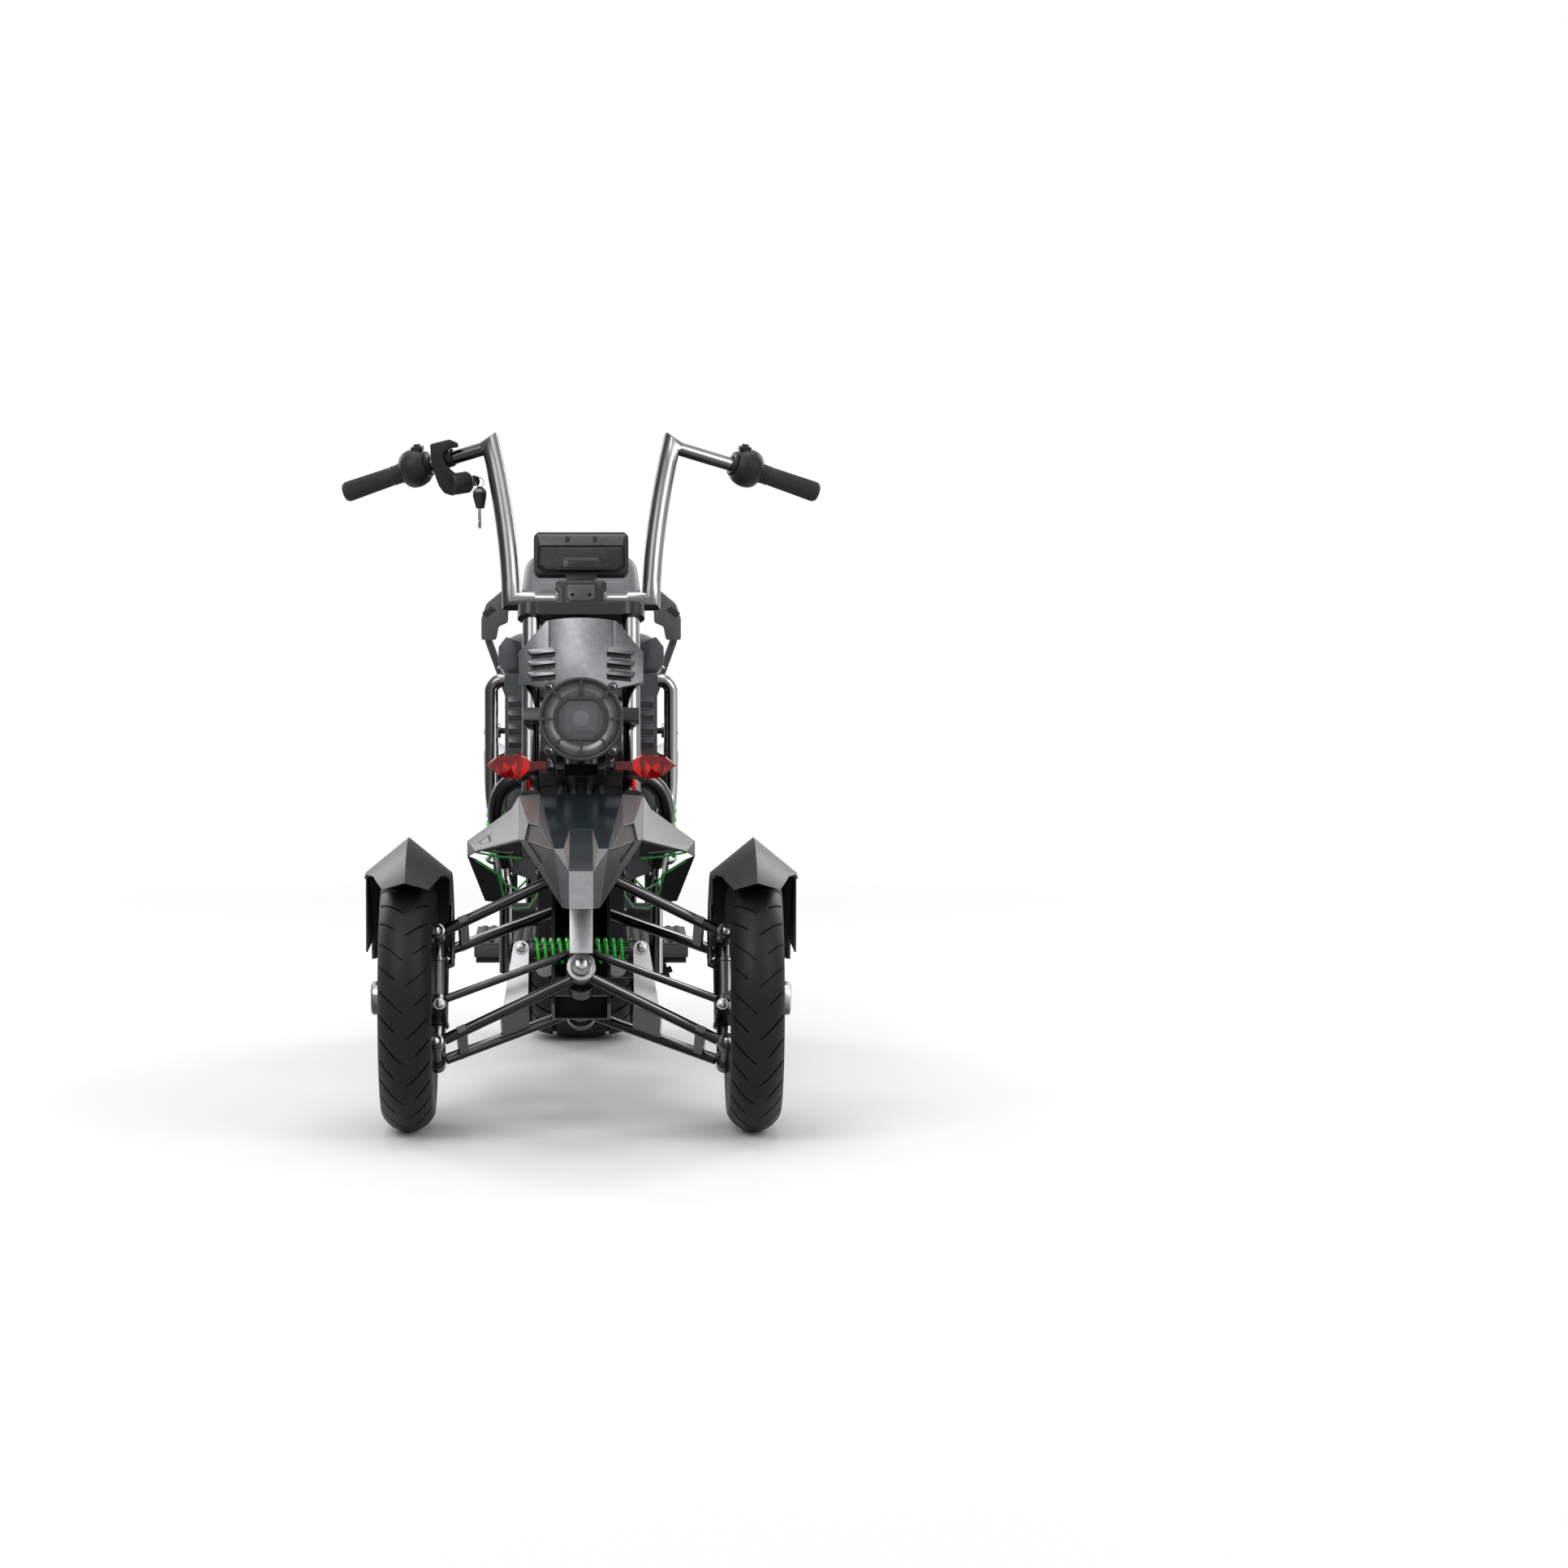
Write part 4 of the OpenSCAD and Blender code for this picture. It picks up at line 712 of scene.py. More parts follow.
# coil springs: one crosswise at the front, two at the rear
springPlan = {"front": onRake(-80, -46, 71), "foot": at(172, 1250, 330), "head": at(172, 1060, 640),
    "lift": 0.060}
piece = bmesh.new()
coilWire(piece, springPlan["front"], (1, 0, 0), 20.1, 3.4, 12, 160)
shockWay = (springPlan["head"] - springPlan["foot"]).normalized()
coilFoot = springPlan["foot"] + shockWay * springPlan["lift"]
coilWire(piece, coilFoot, shockWay, 17, 4, 8, 175)
coilWire(piece, mirrored(coilFoot), mirrored(shockWay), 17, 4, 8, 175)
finishPiece("spring_coils", piece, [springGreen], "chassis", ("springs",), 60)

# handlebar: thick bowed risers with mitred corners, thin bars between and outside
barPlan = {"thick": 17.0, "thin": 12.5, "low": (127, 333.9, 918), "top": (166, 455.3, 1200),
    "gripEnd": (440, 530, 1114), "cadTop": (166, 455.3, 1208), "bow": 6.0, "flare": 1.7, "steps": 8}
riserTop = at(*barPlan["top"])
gripEnd = at(*barPlan["gripEnd"])
cadTop = at(*barPlan["cadTop"])
gripIn = cadTop + 0.6 * (gripEnd - cadTop)
gripWay = (gripEnd - cadTop).normalized()
lowX, lowY, lowZ = barPlan["low"]
topX, topY, topZ = barPlan["top"]
piece = bmesh.new()
riser = [at(84, lowY, lowZ), at(lowX, lowY, lowZ)]
for step in range(1, barPlan["steps"] + 1):
    t = step / barPlan["steps"]
    back = lowY + (topY - lowY) * t - barPlan["bow"] * math.sin(math.pi * t)
    riser.append(at(lowX + (topX - lowX) * t ** barPlan["flare"], back, lowZ + (topZ - lowZ) * t))
riser.append(riserTop + 0.012 * gripWay + Vector((0, 0, -0.0035)))
tube(piece, riser, barPlan["thick"], 32)
tube(piece, [riserTop + 0.008 * gripWay, gripIn + 0.02 * gripWay], barPlan["thin"], 28)
bothSides(piece)
tube(piece, [at(-86, lowY, lowZ), at(86, lowY, lowZ)], barPlan["thin"], 28)
finishPiece("handlebar_mitred", piece, [chromeTube], "steering", ("handlebar",), 40)

# grips with a ribbed collar, fine lengthwise lines and a rounded end
gripPlan = {"lines": 64, "lineDepth": 0.0007, "linesFrom": 0.021, "linesTo": 0.109,
    "profile": [(12.6, 0.2), (18.8, 0.2), (19, 1.5), (19, 4), (17.4, 5), (17.4, 7), (18.2, 8), (18.2, 11),
    (17.4, 12), (17.4, 14), (18.2, 15), (18.2, 18), (17.3, 19.5), (17.6, 40), (18.0, 70), (18.6, 100),
    (18.8, 108), (18.2, 114), (15.5, 118), (10, 119.5), (0, 119.6)]}
piece = bmesh.new()
grip = bmesh.new()
upright = Vector((0, 0, 1))
lathe(grip, gripPlan["profile"], axisFrame(gripIn, gripWay, upright), gripPlan["lines"])
for vert in grip.verts:
    along = (vert.co - gripIn).dot(gripWay)
    if gripPlan["linesFrom"] < along < gripPlan["linesTo"]:
        spread = vert.co - gripIn - gripWay * along
        turn = math.atan2(spread.dot(upright), spread.dot(gripWay.cross(upright)))
        if round(turn / (2 * math.pi) * gripPlan["lines"]) % 2:
            vert.co -= spread.normalized() * gripPlan["lineDepth"]
addTo(piece, grip)
bothSides(piece)
finishPiece("grips_ribbed", piece, [gripRubber], "steering", ("grips",), 25)

# control housings: a bulb with a dark mouth, and a small switch on top
podPlan = {"bulb": [(12.7, -31), (21, -31), (23, -29), (23.5, -27), (22, -25), (26, -24), (31.5, -17),
    (35, -7), (35.8, 3), (34, 13), (29.5, 20.5), (24, 24.5), (20, 25.8), (12.7, 25.8)],
    "base": [(11, -8), (11, 8)], "button": [(6, -4.5), (6, 4.5)]}
podMiddle = gripIn - gripWay * 0.0263
piece = bmesh.new()
lathe(piece, podPlan["bulb"], axisFrame(podMiddle, gripWay), 56)
switchTop = axisFrame(podMiddle + Vector((-0.004, -0.006, 0.032)), (0.1, -0.15, 1), gripWay)
plate(piece, evenOutline(podPlan["base"]), 8, switchTop, 1.6)
plate(piece, evenOutline(podPlan["button"]), 5, raised(switchTop, 7.5), 1.2, 1)
bothSides(piece)
finishPiece("switch_pods_bulbs", piece, [satinBlack, clampBlack], "steering", ("switch_pods",),
    35)
print("handlebar done")

# key lock on the rider's right: bracket on the bar, bent arm, drum, key with ring and fob
lockPlan = {"along": 0.3, "armDepth": 24.0, "ring": 8.5, "ringWire": 0.9,
    "arm": [(-30, -24), (-28, 2), (-24, 22), (-19, 38), (-14, 52), (-4, 66), (12, 71), (26, 64), (31, 50),
    (26, 36), (10, 24), (-2, 12), (-6, 2), (-5, -8), (8, -17), (22, -18), (22, -26), (6, -33)],
    "bracket": [(12.6, -12), (19, -12), (20, -10), (20, 10), (19, 12), (12.6, 12)],
    "drum": [(0, -3), (17, -3), (20, 0), (20, 34), (17, 38), (0, 38)],
    "key": [(-2, -3), (3, -3), (7, -9), (19, -10), (23, -3), (22, 6), (13, 11), (6, 7), (3, 3), (-2, 3)],
    "fob": [(-4, 0), (6, 0), (13, 8), (13, 18), (9, 40), (-6, 40), (-12, 18), (-12, 8)],
    "band": [(-12.6, 10), (13.6, 10), (10, 3), (-9, 3)], "spare": [(-2.5, 39), (3.5, 39), (3.5, 74),
    (1, 78), (-2.5, 74), (-2.5, 66), (-1, 63), (-2.5, 58)]}
lockAt = mirrored(cadTop + lockPlan["along"] * (gripEnd - cadTop))
piece = bmesh.new()
plate(piece, lockPlan["arm"], lockPlan["armDepth"], axisFrame(lockAt + Vector((0, -0.031, 0)), (0, 1, 0)),
    3.0, 0, 3)
lathe(piece, lockPlan["bracket"], axisFrame(lockAt, mirrored(gripWay)), 40)
drumFrame = axisFrame(lockAt + Vector((0.010, -0.030, -0.050)), (0.75, 0.55, 0.12))
lathe(piece, lockPlan["drum"], drumFrame, 40)
keyFrame = axisFrame(drumFrame @ Vector((0, 0, 0.036)), (0.2, -1, 0.0), (0.75, 0.1, 0.12))
plate(piece, lockPlan["key"], 4, raised(keyFrame, -2), 1.0, 1)
ringAt = keyFrame @ Vector((0.020, 0.004, 0))
part = bmesh.new()
wireFrame = Matrix.Translation((lockPlan["ring"] / 1000, 0, 0)) @ Matrix.Rotation(math.pi / 2, 4, "X")
bmesh.ops.create_circle(part, radius=lockPlan["ringWire"] / 1000, segments=8, matrix=wireFrame)
spinRound(part, part.verts[:] + part.edges[:], 32)
addTo(piece, part, axisFrame(ringAt + Vector((0.003, 0, -0.0075)), (0.3, -1, 0.1)), 2)
fobFrame = axisFrame(ringAt + Vector((0.003, 0.004, -0.016)), (-0.1, 1, 0))
plate(piece, lockPlan["fob"], 7, fobFrame, 2.0, 1)
plate(piece, lockPlan["band"], 8, raised(fobFrame, -0.5), 0.8, 2)
plate(piece, lockPlan["spare"], 2, raised(fobFrame, 2.5), 0.5, 2)
finishPiece("key_lock_holder", piece, [satinBlack, clampBlack, brightSteel], "steering", ("key_lock",),
    35)
print("key lock done")

# handlebar clamp: waisted block, two pillar caps and the plate with the two accessory holes, drawn as black
# discs of painted shade
clampPlan = {"back": 26.0, "depth": 54.0, "front": -30.0, "holeX": 15.5, "holeZ": 761.6, "holeRadius": 3.0,
    "pillarX": 34.0, "outline": [(47, 740), (47, 750), (41, 755), (41, 769), (47, 774), (47, 787),
    (42, 791.5)], "plate": [(25, 781), (25, 756), (19, 749)],
    "pillar": [(0, 0), (10, 0), (11, 1), (11, 44), (9, 47), (0, 47)]}
piece = bmesh.new()
plate(piece, evenOutline(clampPlan["outline"]), clampPlan["depth"], faceOnRake(0, clampPlan["back"], 0),
    3.0, 0, 3)
for sign in (-1, 1):
    lathe(piece, clampPlan["pillar"], axisFrame(onRake(sign * clampPlan["pillarX"], -17, 743), rakeUp), 32)
plate(piece, evenOutline(clampPlan["plate"]), 1.9, faceOnRake(0, clampPlan["front"] + 2, 0), 0.6, 1)
# shallow black discs on the plate: painted shade where the holes are
for sign in (-1, 1):
    hole = faceOnRake(sign * clampPlan["holeX"], clampPlan["front"], clampPlan["holeZ"])
    lathe(piece, [(0, -0.05), (clampPlan["holeRadius"], -0.05), (clampPlan["holeRadius"], -1.5), (0, -1.5)],
        hole, 24, 2)
finishPiece("bar_clamp_waisted", piece, [clampBlack, displayBand, paintedHoleShade], "steering", ("bar_clamp",),
    35)

# display: bevelled case seen from its back, with a sloped band, a recessed panel and screws
displayPlan = {"case": [(80, 810), (86.5, 817), (86.5, 889), (80, 897)],
    "panel": [(46, 816), (54, 824), (46, 854), (34, 860)], "hood": ((68, 813, 18), (82, 826, 18),
    (80, 872, 18), (62, 818, 26), (74, 828, 26), (72, 860, 26)),
    "band": ((82, 892, 18), (80, 888, 22), (74, 866, 25.6), (78, 866, 18)),
    "recess": [(30, 820), (33, 824), (33, 836), (30, 840)], "plug": [(24, 824), (24, 835)], "tabX": 25.0,
    "tab": [(3, 872), (4, 879), (3, 885)], "screws": ((38, 848), (47, 824)),
    "screw": [(0, 0), (2.4, 0), (2.0, 0.7), (0, 0.7)], "neck": [(22, 791.6), (26, 800), (30, 812)],
    "screen": [(78, 818), (78, 889)]}
piece = bmesh.new()
caseFrame = faceOnRake(0, 8, 0)
plate(piece, evenOutline(displayPlan["case"]), 19, caseFrame, 4.0, 0, 3)
for corners, edge, tone in ((displayPlan["hood"], 1.2, 0), (displayPlan["band"], 1.0, 1)):
    facets(piece, [caseFrame @ (Vector((x * sign, z, d)) / 1000) for sign in (-1, 1) for x, z,
        d in corners], edge, tone)
plate(piece, evenOutline(displayPlan["panel"]), 27.4, caseFrame, 0.8)
plate(piece, evenOutline(displayPlan["recess"]), 28.6, caseFrame, 1.0, 2)
plate(piece, evenOutline(displayPlan["plug"]), 29.0, caseFrame, 0.4)
for sign in (-1, 1):
    plate(piece, [(sign * displayPlan["tabX"] + x, z) for x, z in evenOutline(displayPlan["tab"])], 25.4,
        caseFrame, 1.0)
    for x, z in displayPlan["screws"]:
        lathe(piece, displayPlan["screw"], raised(caseFrame, 27.4, sign * x, z), 14, 2)
plate(piece, evenOutline(displayPlan["neck"]), 20, caseFrame, 3.0)
plate(piece, evenOutline(displayPlan["screen"]), 1.2, raised(caseFrame, -1), 0.4, 3)
finishPiece("display_case", piece, [satinBlack, displayBand, lampDark, noseSmoke], "steering", ("display",),
    24)
print("clamp and display done")

# shroud over the lamp: bowed middle, folded cheeks and three hooded louvres a side; under each hood a black
# slab stands for the opening, as painted shade
shroudPlan = {"bow": 150.0, "front": -88.0, "half": 58.0, "cheekY": -76.3, "cheekSlope": 16 / 52,
    "low": 558.0, "high": 690.0, "sheet": 6.0, "louvres": (620.0, 598.0, 576.0), "bowSteps": 12,
    "cheek": [(58.2, 689.6), (64, 689.6), (111.6, 634), (111.6, 577), (66, 558.4), (58.2, 558.4)],
    "side": ((98, 646), (111.6, 632), (111.6, 579), (98, 573)),
    "hood": ((46, 4, 6), (88, 5, 7), (46, 4, -2), (88, 5, -2), (52, 18, -1), (98, 19, -1), (94, 6, 1)),
    "mouth": ((46, -3), (90, -2), (88, 4.8), (46, 3.8))}


def shroudDepth(x):
    if abs(x) <= shroudPlan["half"]:
        return shroudPlan["front"] + shroudPlan["bow"] - math.sqrt(shroudPlan["bow"] ** 2 - x ** 2)
    return shroudPlan["cheekY"] + (abs(x) - shroudPlan["half"]) * shroudPlan["cheekSlope"]


def onShroud(sign, x, lift, z):
    return onRake(sign * x, shroudDepth(x) - lift, z)


piece = bmesh.new()
sheet = shroudPlan["sheet"]
bowSteps = shroudPlan["bowSteps"]
bow = [(x, shroudDepth(x)) for x in (shroudPlan["half"] * step / bowSteps
    for step in range(-bowSteps, bowSteps + 1))]
plate(piece, bow + [(x, y + sheet) for x, y in bow[::-1]], shroudPlan["high"] - shroudPlan["low"],
    axisFrame(onRake(0, 0, shroudPlan["low"]), rakeUp), 0.8)
for sign in (-1, 1):
    facets(piece, [onShroud(sign, x, -d, z) for x, z in shroudPlan["cheek"] for d in (0, sheet)], 0.8)
    facets(piece, [onRake(sign * x, y, z) for x, z in shroudPlan["side"] for y in (-56, -43)], 1.0)
    for low in shroudPlan["louvres"]:
        facets(piece, [onShroud(sign, x, lift, low + z) for x, z, lift in shroudPlan["hood"]], 0.6)
        # black slab in the louvre mouth: painted shade in place of the opening
        facets(piece, [onShroud(sign, x, lift, low + z) for x,
            z in shroudPlan["mouth"] for lift in (0.7, -2)], 0.3, 1)
finishPiece("shroud_louvred", piece, [shroudGrey, satinBlack], "steering", ("headlight_shroud",),
    24)

# headlight: guard ring with ears and spokes, clear dome, reflector and a square projector
lampPlan = {"face": at(0, 78, 718), "ears": 4, "spokes": 8, "spokeReach": (45, 42, 37, 42), "earBolt": 79.5,
    "cageLift": 0.0036, "ring": [(67.5, 14), (67.5, 5), (68.5, 1.5), (70.5, 0.2), (73, 0.4), (74.5, 2.5),
    (74.5, 11), (73, 14), (67.5, 14)], "ear": [(70, -10), (80, -9), (87, -5), (88.5, 0), (87, 5), (80, 9),
    (70, 10)], "bolt": [(0, 0.4), (2.2, 0.4), (2.6, -0.6), (5.0, 0.2), (5.6, 1.0)],
    "cage": [(24, -36), (44, -16), (44, 16), (24, 36)], "dome": [(67, 13), (67, 10.5), (60, 8.0), (48, 6.0),
    (30, 4.4), (14, 3.8), (0, 3.6)], "reflector": [(66.5, 14), (62, 22), (56, 28), (50, 30), (50, 33),
    (40, 42), (36, 44), (0, 44)], "window": [(22, -23), (27, -18), (27, 18), (22, 23)],
    "bead": [(0, 9.6), (6, 10.2), (12, 11.8), (15, 14)], "bowl": [(67, 14), (70.2, 14), (62, 40), (52, 70),
    (44, 86), (38, 90), (0, 90)], "crossbar": ((-104, 104), (-64, -42.3), (500, 526))}
lampFront = axisFrame(lampPlan["face"], (0, 1, 0))
piece = bmesh.new()
lathe(piece, lampPlan["ring"], lampFront, 72)
for count in range(lampPlan["ears"]):
    ear = turned(lampFront, 45 + 90 * count)
    plate(piece, lampPlan["ear"], 11, raised(ear, 2), 1.5)
    lathe(piece, lampPlan["bolt"], raised(ear, 1.5, lampPlan["earBolt"]), 18, 1)
for count in range(lampPlan["spokes"]):
    reach = lampPlan["spokeReach"][count % 4]
    plate(piece, [(reach, -1.9), (69, -2.6), (69, 2.6), (reach, 1.9)], 5,
        raised(turned(lampFront, 45 * count), 1.2), 0.7)
cage = [lampFront @ Vector((x / 1000, y / 1000, lampPlan["cageLift"])) for x,
    y in evenOutline(lampPlan["cage"])]
for pair in zip(cage, cage[1:] + cage[:1]):
    tube(piece, pair, 2.6, 10)
finishPiece("headlight_guard", piece, [ringGrey, gunMetal], "steering", ("headlight_grille",),
    35)

piece = bmesh.new()
lathe(piece, lampPlan["dome"], lampFront, 64)
finishPiece("headlight_dome", piece, [lensClear], "steering", ("headlight_lens",), 60)

piece = bmesh.new()
window = evenOutline(lampPlan["window"])
lathe(piece, lampPlan["reflector"], lampFront, 56, 1)
plate(piece, [(x * 1.2, y * 1.2) for x, y in window], 30, raised(lampFront, 16), 3.0, 0, 3)
plate(piece, window, 4, raised(lampFront, 13.8), 1.2, 2)
lathe(piece, lampPlan["bead"], lampFront, 40, 3)
lathe(piece, lampPlan["bowl"], lampFront, 56)
barX, barY, barZ = lampPlan["crossbar"]
facets(piece, [onRake(x, y, z) for x in barX for y in barY for z in barZ], 2.0)
finishPiece("headlight_shell", piece, [lampDark, reflectorGrey, windowGlass, lensClear], "steering",
    ("headlight_bowl",), 35)
print("shroud and headlight done")

# turn signals: flat sided red lenses on red stems, with hex nuts at the brackets
signalPlan = {"lens": [(168, 106, 634), (150, 90, 649), (150, 120, 650), (106, 86, 652), (106, 124, 655),
    (140, 94, 614), (140, 118, 614), (112, 90, 611), (112, 122, 611), (91, 97, 642), (91, 115, 642),
    (91, 97, 626), (91, 115, 626), (156, 94, 637), (124, 84, 632)],
    "stem": ((97, 642), (115, 642), (97, 626), (115, 626)), "nut": (58.5, 106, 634)}
piece = bmesh.new()
facets(piece, [at(*point) for point in signalPlan["lens"]])
facets(piece, [at(x, y, z) for x in (59, 92) for y, z in signalPlan["stem"]], 1.5)
hexBolt(piece, at(*signalPlan["nut"]), (-1, 0, 0), 11, 8, 1)
bothSides(piece)
finishPiece("turn_signal_lenses", piece, [lensRed, gunMetal], "steering", ("turn_signals",), 8)


def panel(piece, corners, depth, tone=0, edge=0.5):
    # a sheet over its corners, thickened away from the side that the corners show when they run anticlockwise
    part = bmesh.new()
    face = part.faces.new([part.verts.new(corner) for corner in corners])
    face.normal_update()
    drawOut(part, [face], face.normal * (-depth / 1000))
    softenEdges(part, edge, 2, 40)
    addTo(piece, part, None, tone)


# nose: smoked hood, folded strips, tip plate, cheeks round a recessed lens, and the wings beside them
nosePlan = {"a": (110, 100, 581), "b": (73, 100, 584), "c": (47, -190, 512), "c2": (30, -190, 512),
    "c3": (19.5, -88, 537), "d": (20.5, -262, 480), "e": (20.5, -262, 416), "f": (32, -252, 417),
    "g": (107, -60, 516), "h": (100, 60, 503), "l1": (92, -26, 543), "l2": (73, -71, 541.5),
    "l3": (52, -180, 511), "l4": (68, -154, 482), "l5": (98, -73, 518), "w1": (124, 92, 558),
    "t": (202, 110, 500), "t2": (186, 60, 486), "t3": (202, 110, 473), "g2": (104, -14, 482),
    "s1": (170, 90, 395), "s2": (134, 92, 391), "s3": (146, 84, 444), "s4": (186, 92, 468)}
# corner names, depth, tone and how deep the sheet is sunk
noseSheets = (("c3 c2 d", 2.5, 3), ("c2 c d", 2.5, 1), ("c f e d", 2.5, 1), ("b a l1 l2", 6.0, 1),
    ("b l2 l3 c", 6.0, 4), ("a g l5 l1", 6.0, 4), ("c l3 l4 f", 6.0, 3), ("l5 g f l4", 6.0, 3),
    ("a h g", 2.5, 3), ("h f g", 2.5, 3), ("l2 l1 l5 l3", 2.0, 5, 4.0), ("l3 l5 l4", 2.0, 3, 4.0))
wingSheets = (("a w1 t t2 g", 4.0, 0), ("t t3 t2", 4.0, 0), ("g t2 g2", 3.0, 2, 1.0),
    ("t3 s1 s2 s3 s4", 5.0, 2))
# radius, tone and route of the ridge and the green edges
wingTrims = ((1.6, 0, ((122, -18, 505), (160, 32, 489), (119, -8, 489), (122, -18, 505))),
    (1.8, 3, ((186, 62, 484), (144, 26, 479.5), (104, -14, 480))),
    (2.4, 3, ((186, 90, 467), (146, 83, 443), (134, 90, 391))),
    (1.8, 3, ((146, 84, 444), (132, 60, 428), (112, 20, 422), (96, -6, 440))),
    (1.8, 3, ((176, 96, 410), (160, 94, 428), (150, 88, 436))),
    (1.8, 3, ((135, 91, 394), (118, 60, 384), (92, 10, 392), (76, -60, 420))))


def nosePanel(piece, names, depth, tone, sink=0.0):
    # corners are named clockwise as seen from ahead on the rider's left; the other side is mirrored
    for sign in (1, -1):
        corners = [at(sign * nosePlan[name][0], nosePlan[name][1], nosePlan[name][2])
            for name in names.split()]
        corners = corners[::-1] if sign > 0 else corners
        if sink:
            lean = (corners[1] - corners[0]).cross(corners[2] - corners[1]).normalized() * (sink / 1000)
            corners = [corner - lean for corner in corners]
        panel(piece, corners, depth, tone)


piece = bmesh.new()
for names, tone in (("b c c2 c3", 0), ("c3 d", 0), ("d e", 2)):
    half = [nosePlan[name] for name in names.split()]
    panel(piece, [at(*point) for point in half] + [at(-x, y, z) for x, y, z in half[::-1]], -2.5, tone)
for sheetPlan in noseSheets:
    nosePanel(piece, *sheetPlan)
finishPiece("nose_panels", piece, [noseSmoke, stripGrey, tipGrey, noseFacet, cheekGrey, lensBrown],
    "chassis", ("nose_fairing", "nose_lenses"), 12)

piece = bmesh.new()
for sheetPlan in wingSheets:
    nosePanel(piece, *sheetPlan)
for sign in (-1, 1):
    for radius, tone, route in wingTrims:
        tube(piece, [at(sign * x, y, z) for x, y, z in route], radius, 8, tone)
finishPiece("wing_panels", piece, [wingGrey, cheekGrey, satinBlack, trimGreen], "chassis", ("nose_wings",),
    14)
print("nose and signals done")

# guard tubes with rounded tops, and dark loops beside the fork
guardPlan = {"x": 165, "y": 420, "top": 770, "bend": 20, "radius": 12.4, "loopRadius": 15, "loopSteps": 12,
    "leg": [(165, 420, 575), (164, 418, 556), (160, 408, 530), (153, 388, 486), (146, 368, 450),
    (140, 348, 416), (137.4, 341, 400), (137.3, 342, 385), (137.3, 352, 238)],
    "loopEnds": ((50.6, 247.8, 600), (136, 300, 440)), "loopBend": ((96, 247.8, 600), (154, 249, 604),
    (154, 264, 528))}
piece = bmesh.new()
bend = guardPlan["bend"]
arc = []
for degrees in range(0, 91, 10):
    turn = math.radians(degrees)
    arc.append(at(guardPlan["x"] - bend + bend * math.sin(turn), guardPlan["y"],
        guardPlan["top"] - bend + bend * math.cos(turn)))
tube(piece, [at(140.6, guardPlan["y"], guardPlan["top"])] + arc + [at(*point)
    for point in guardPlan["leg"]], guardPlan["radius"], 28)
loopFrom, loopVia, loopTo = (at(*point) for point in guardPlan["loopBend"])
loop = []
for step in range(guardPlan["loopSteps"] + 1):
    t = step / guardPlan["loopSteps"]
    loop.append((1 - t) ** 2 * loopFrom + 2 * t * (1 - t) * loopVia + t * t * loopTo)
loopStart, loopEnd = (at(*point) for point in guardPlan["loopEnds"])
tube(piece, [loopStart] + loop + [loopEnd], guardPlan["loopRadius"], 32, 1)
bothSides(piece)
finishPiece("guard_tubes_bent", piece, [forkChrome, loopBlack], "chassis", ("guard_tubes",), 40)

# grab handles: winged blocks beside the backrest on flat stays, with raised black strips as painted shade for
# the vent slits
grabPlan = {"front": 1214.0, "depth": 46.0, "lines": 4, "lineStep": (-5, 4),
    "wing": [(138, 906), (157, 917), (192, 888), (202, 858), (202, 815), (172, 815), (167, 842), (148, 850),
    (148, 868)], "line": [(198, 872), (200.5, 869), (190, 861), (187.5, 864)],
    "stays": ((((151, 1318, 705), (190, 1262, 818)), (-5, 5), (-12, 12), (-8, 8)),
    (((141, 1252, 905), (133, 1278, 912)), (-6, 5), (-8, 8), (-7, 7))), "root": (107.5, 1318, 705)}
piece = bmesh.new()
plate(piece, grabPlan["wing"][::-1], grabPlan["depth"], frontFace(grabPlan["front"] + grabPlan["depth"]),
    4.0, 0, 3)
stepX, stepZ = grabPlan["lineStep"]
# black strips for the vent slits: painted shade
for count in range(grabPlan["lines"]):
    line = [(x + stepX * count, z + stepZ * count) for x, z in grabPlan["line"]]
    plate(piece, line, 3, frontFace(grabPlan["front"] + 1), 0.5, 1)
for ends, wide, deep, tall in grabPlan["stays"]:
    facets(piece, [at(x + a, y + b, z + c) for x, y, z in ends for a in wide for b in deep for c in tall],
        1.5)
lathe(piece, [(0, 0), (11, 0), (11, 44), (0, 44)], axisFrame(at(*grabPlan["root"]), (1, 0, 0)), 24)
bothSides(piece)
finishPiece("grab_wings", piece, [grabGrey, satinBlack], "chassis", ("grab_handles",), 24)

# front plate of the column: its bare lower face
piece = bmesh.new()
plate(piece, [(-20, 36), (20, 36), (20, 150), (14, 166), (-14, 166), (-20, 150)], 1.6,
    faceOnRake(0, -130, 0), 0.5)
finishPiece("column_face", piece, [castAlloy], "chassis", (), 30)
print("tubes and handles done")

# fasteners and ball joints of the wishbones; places are on the rake
jointPlan = {"x": 252, "front": -66, "back": 66.2, "heights": (100, -102), "ball": 9.8, "ballSteps": 14,
    "leverX": 105, "leverZ": 71, "stud": [(0, 0), (5, 0), (4.2, 4), (0, 4.6)],
    "cup": [(9.0, -1), (14.8, -1), (15.2, 1.0), (14.2, 3.2), (10.6, 4.4), (9.4, 3)],
    "cap": [(0, 0), (8, 0), (8, 5), (5, 7), (0, 7)], "head": [(0, 0), (12, 0), (12, 5), (9, 8), (0, 8)],
    "flange": [(10, 0), (25, 0), (25.6, 1), (25.6, 4), (24.5, 5.2), (18.5, 5.6), (18, 12.5), (17, 14),
    (10, 14)], "collars": ([(20.1, -55), (21.6, -54), (21.6, -48), (20.1, -47)],
    [(20.1, 62), (21.6, 63), (21.6, 69), (20.1, 70)])}
ballTurns = [math.pi * step / jointPlan["ballSteps"] for step in range(jointPlan["ballSteps"] + 1)]
ball = [(jointPlan["ball"] * math.sin(turn), jointPlan["ball"] * math.cos(turn)) for turn in ballTurns]
piece = bmesh.new()
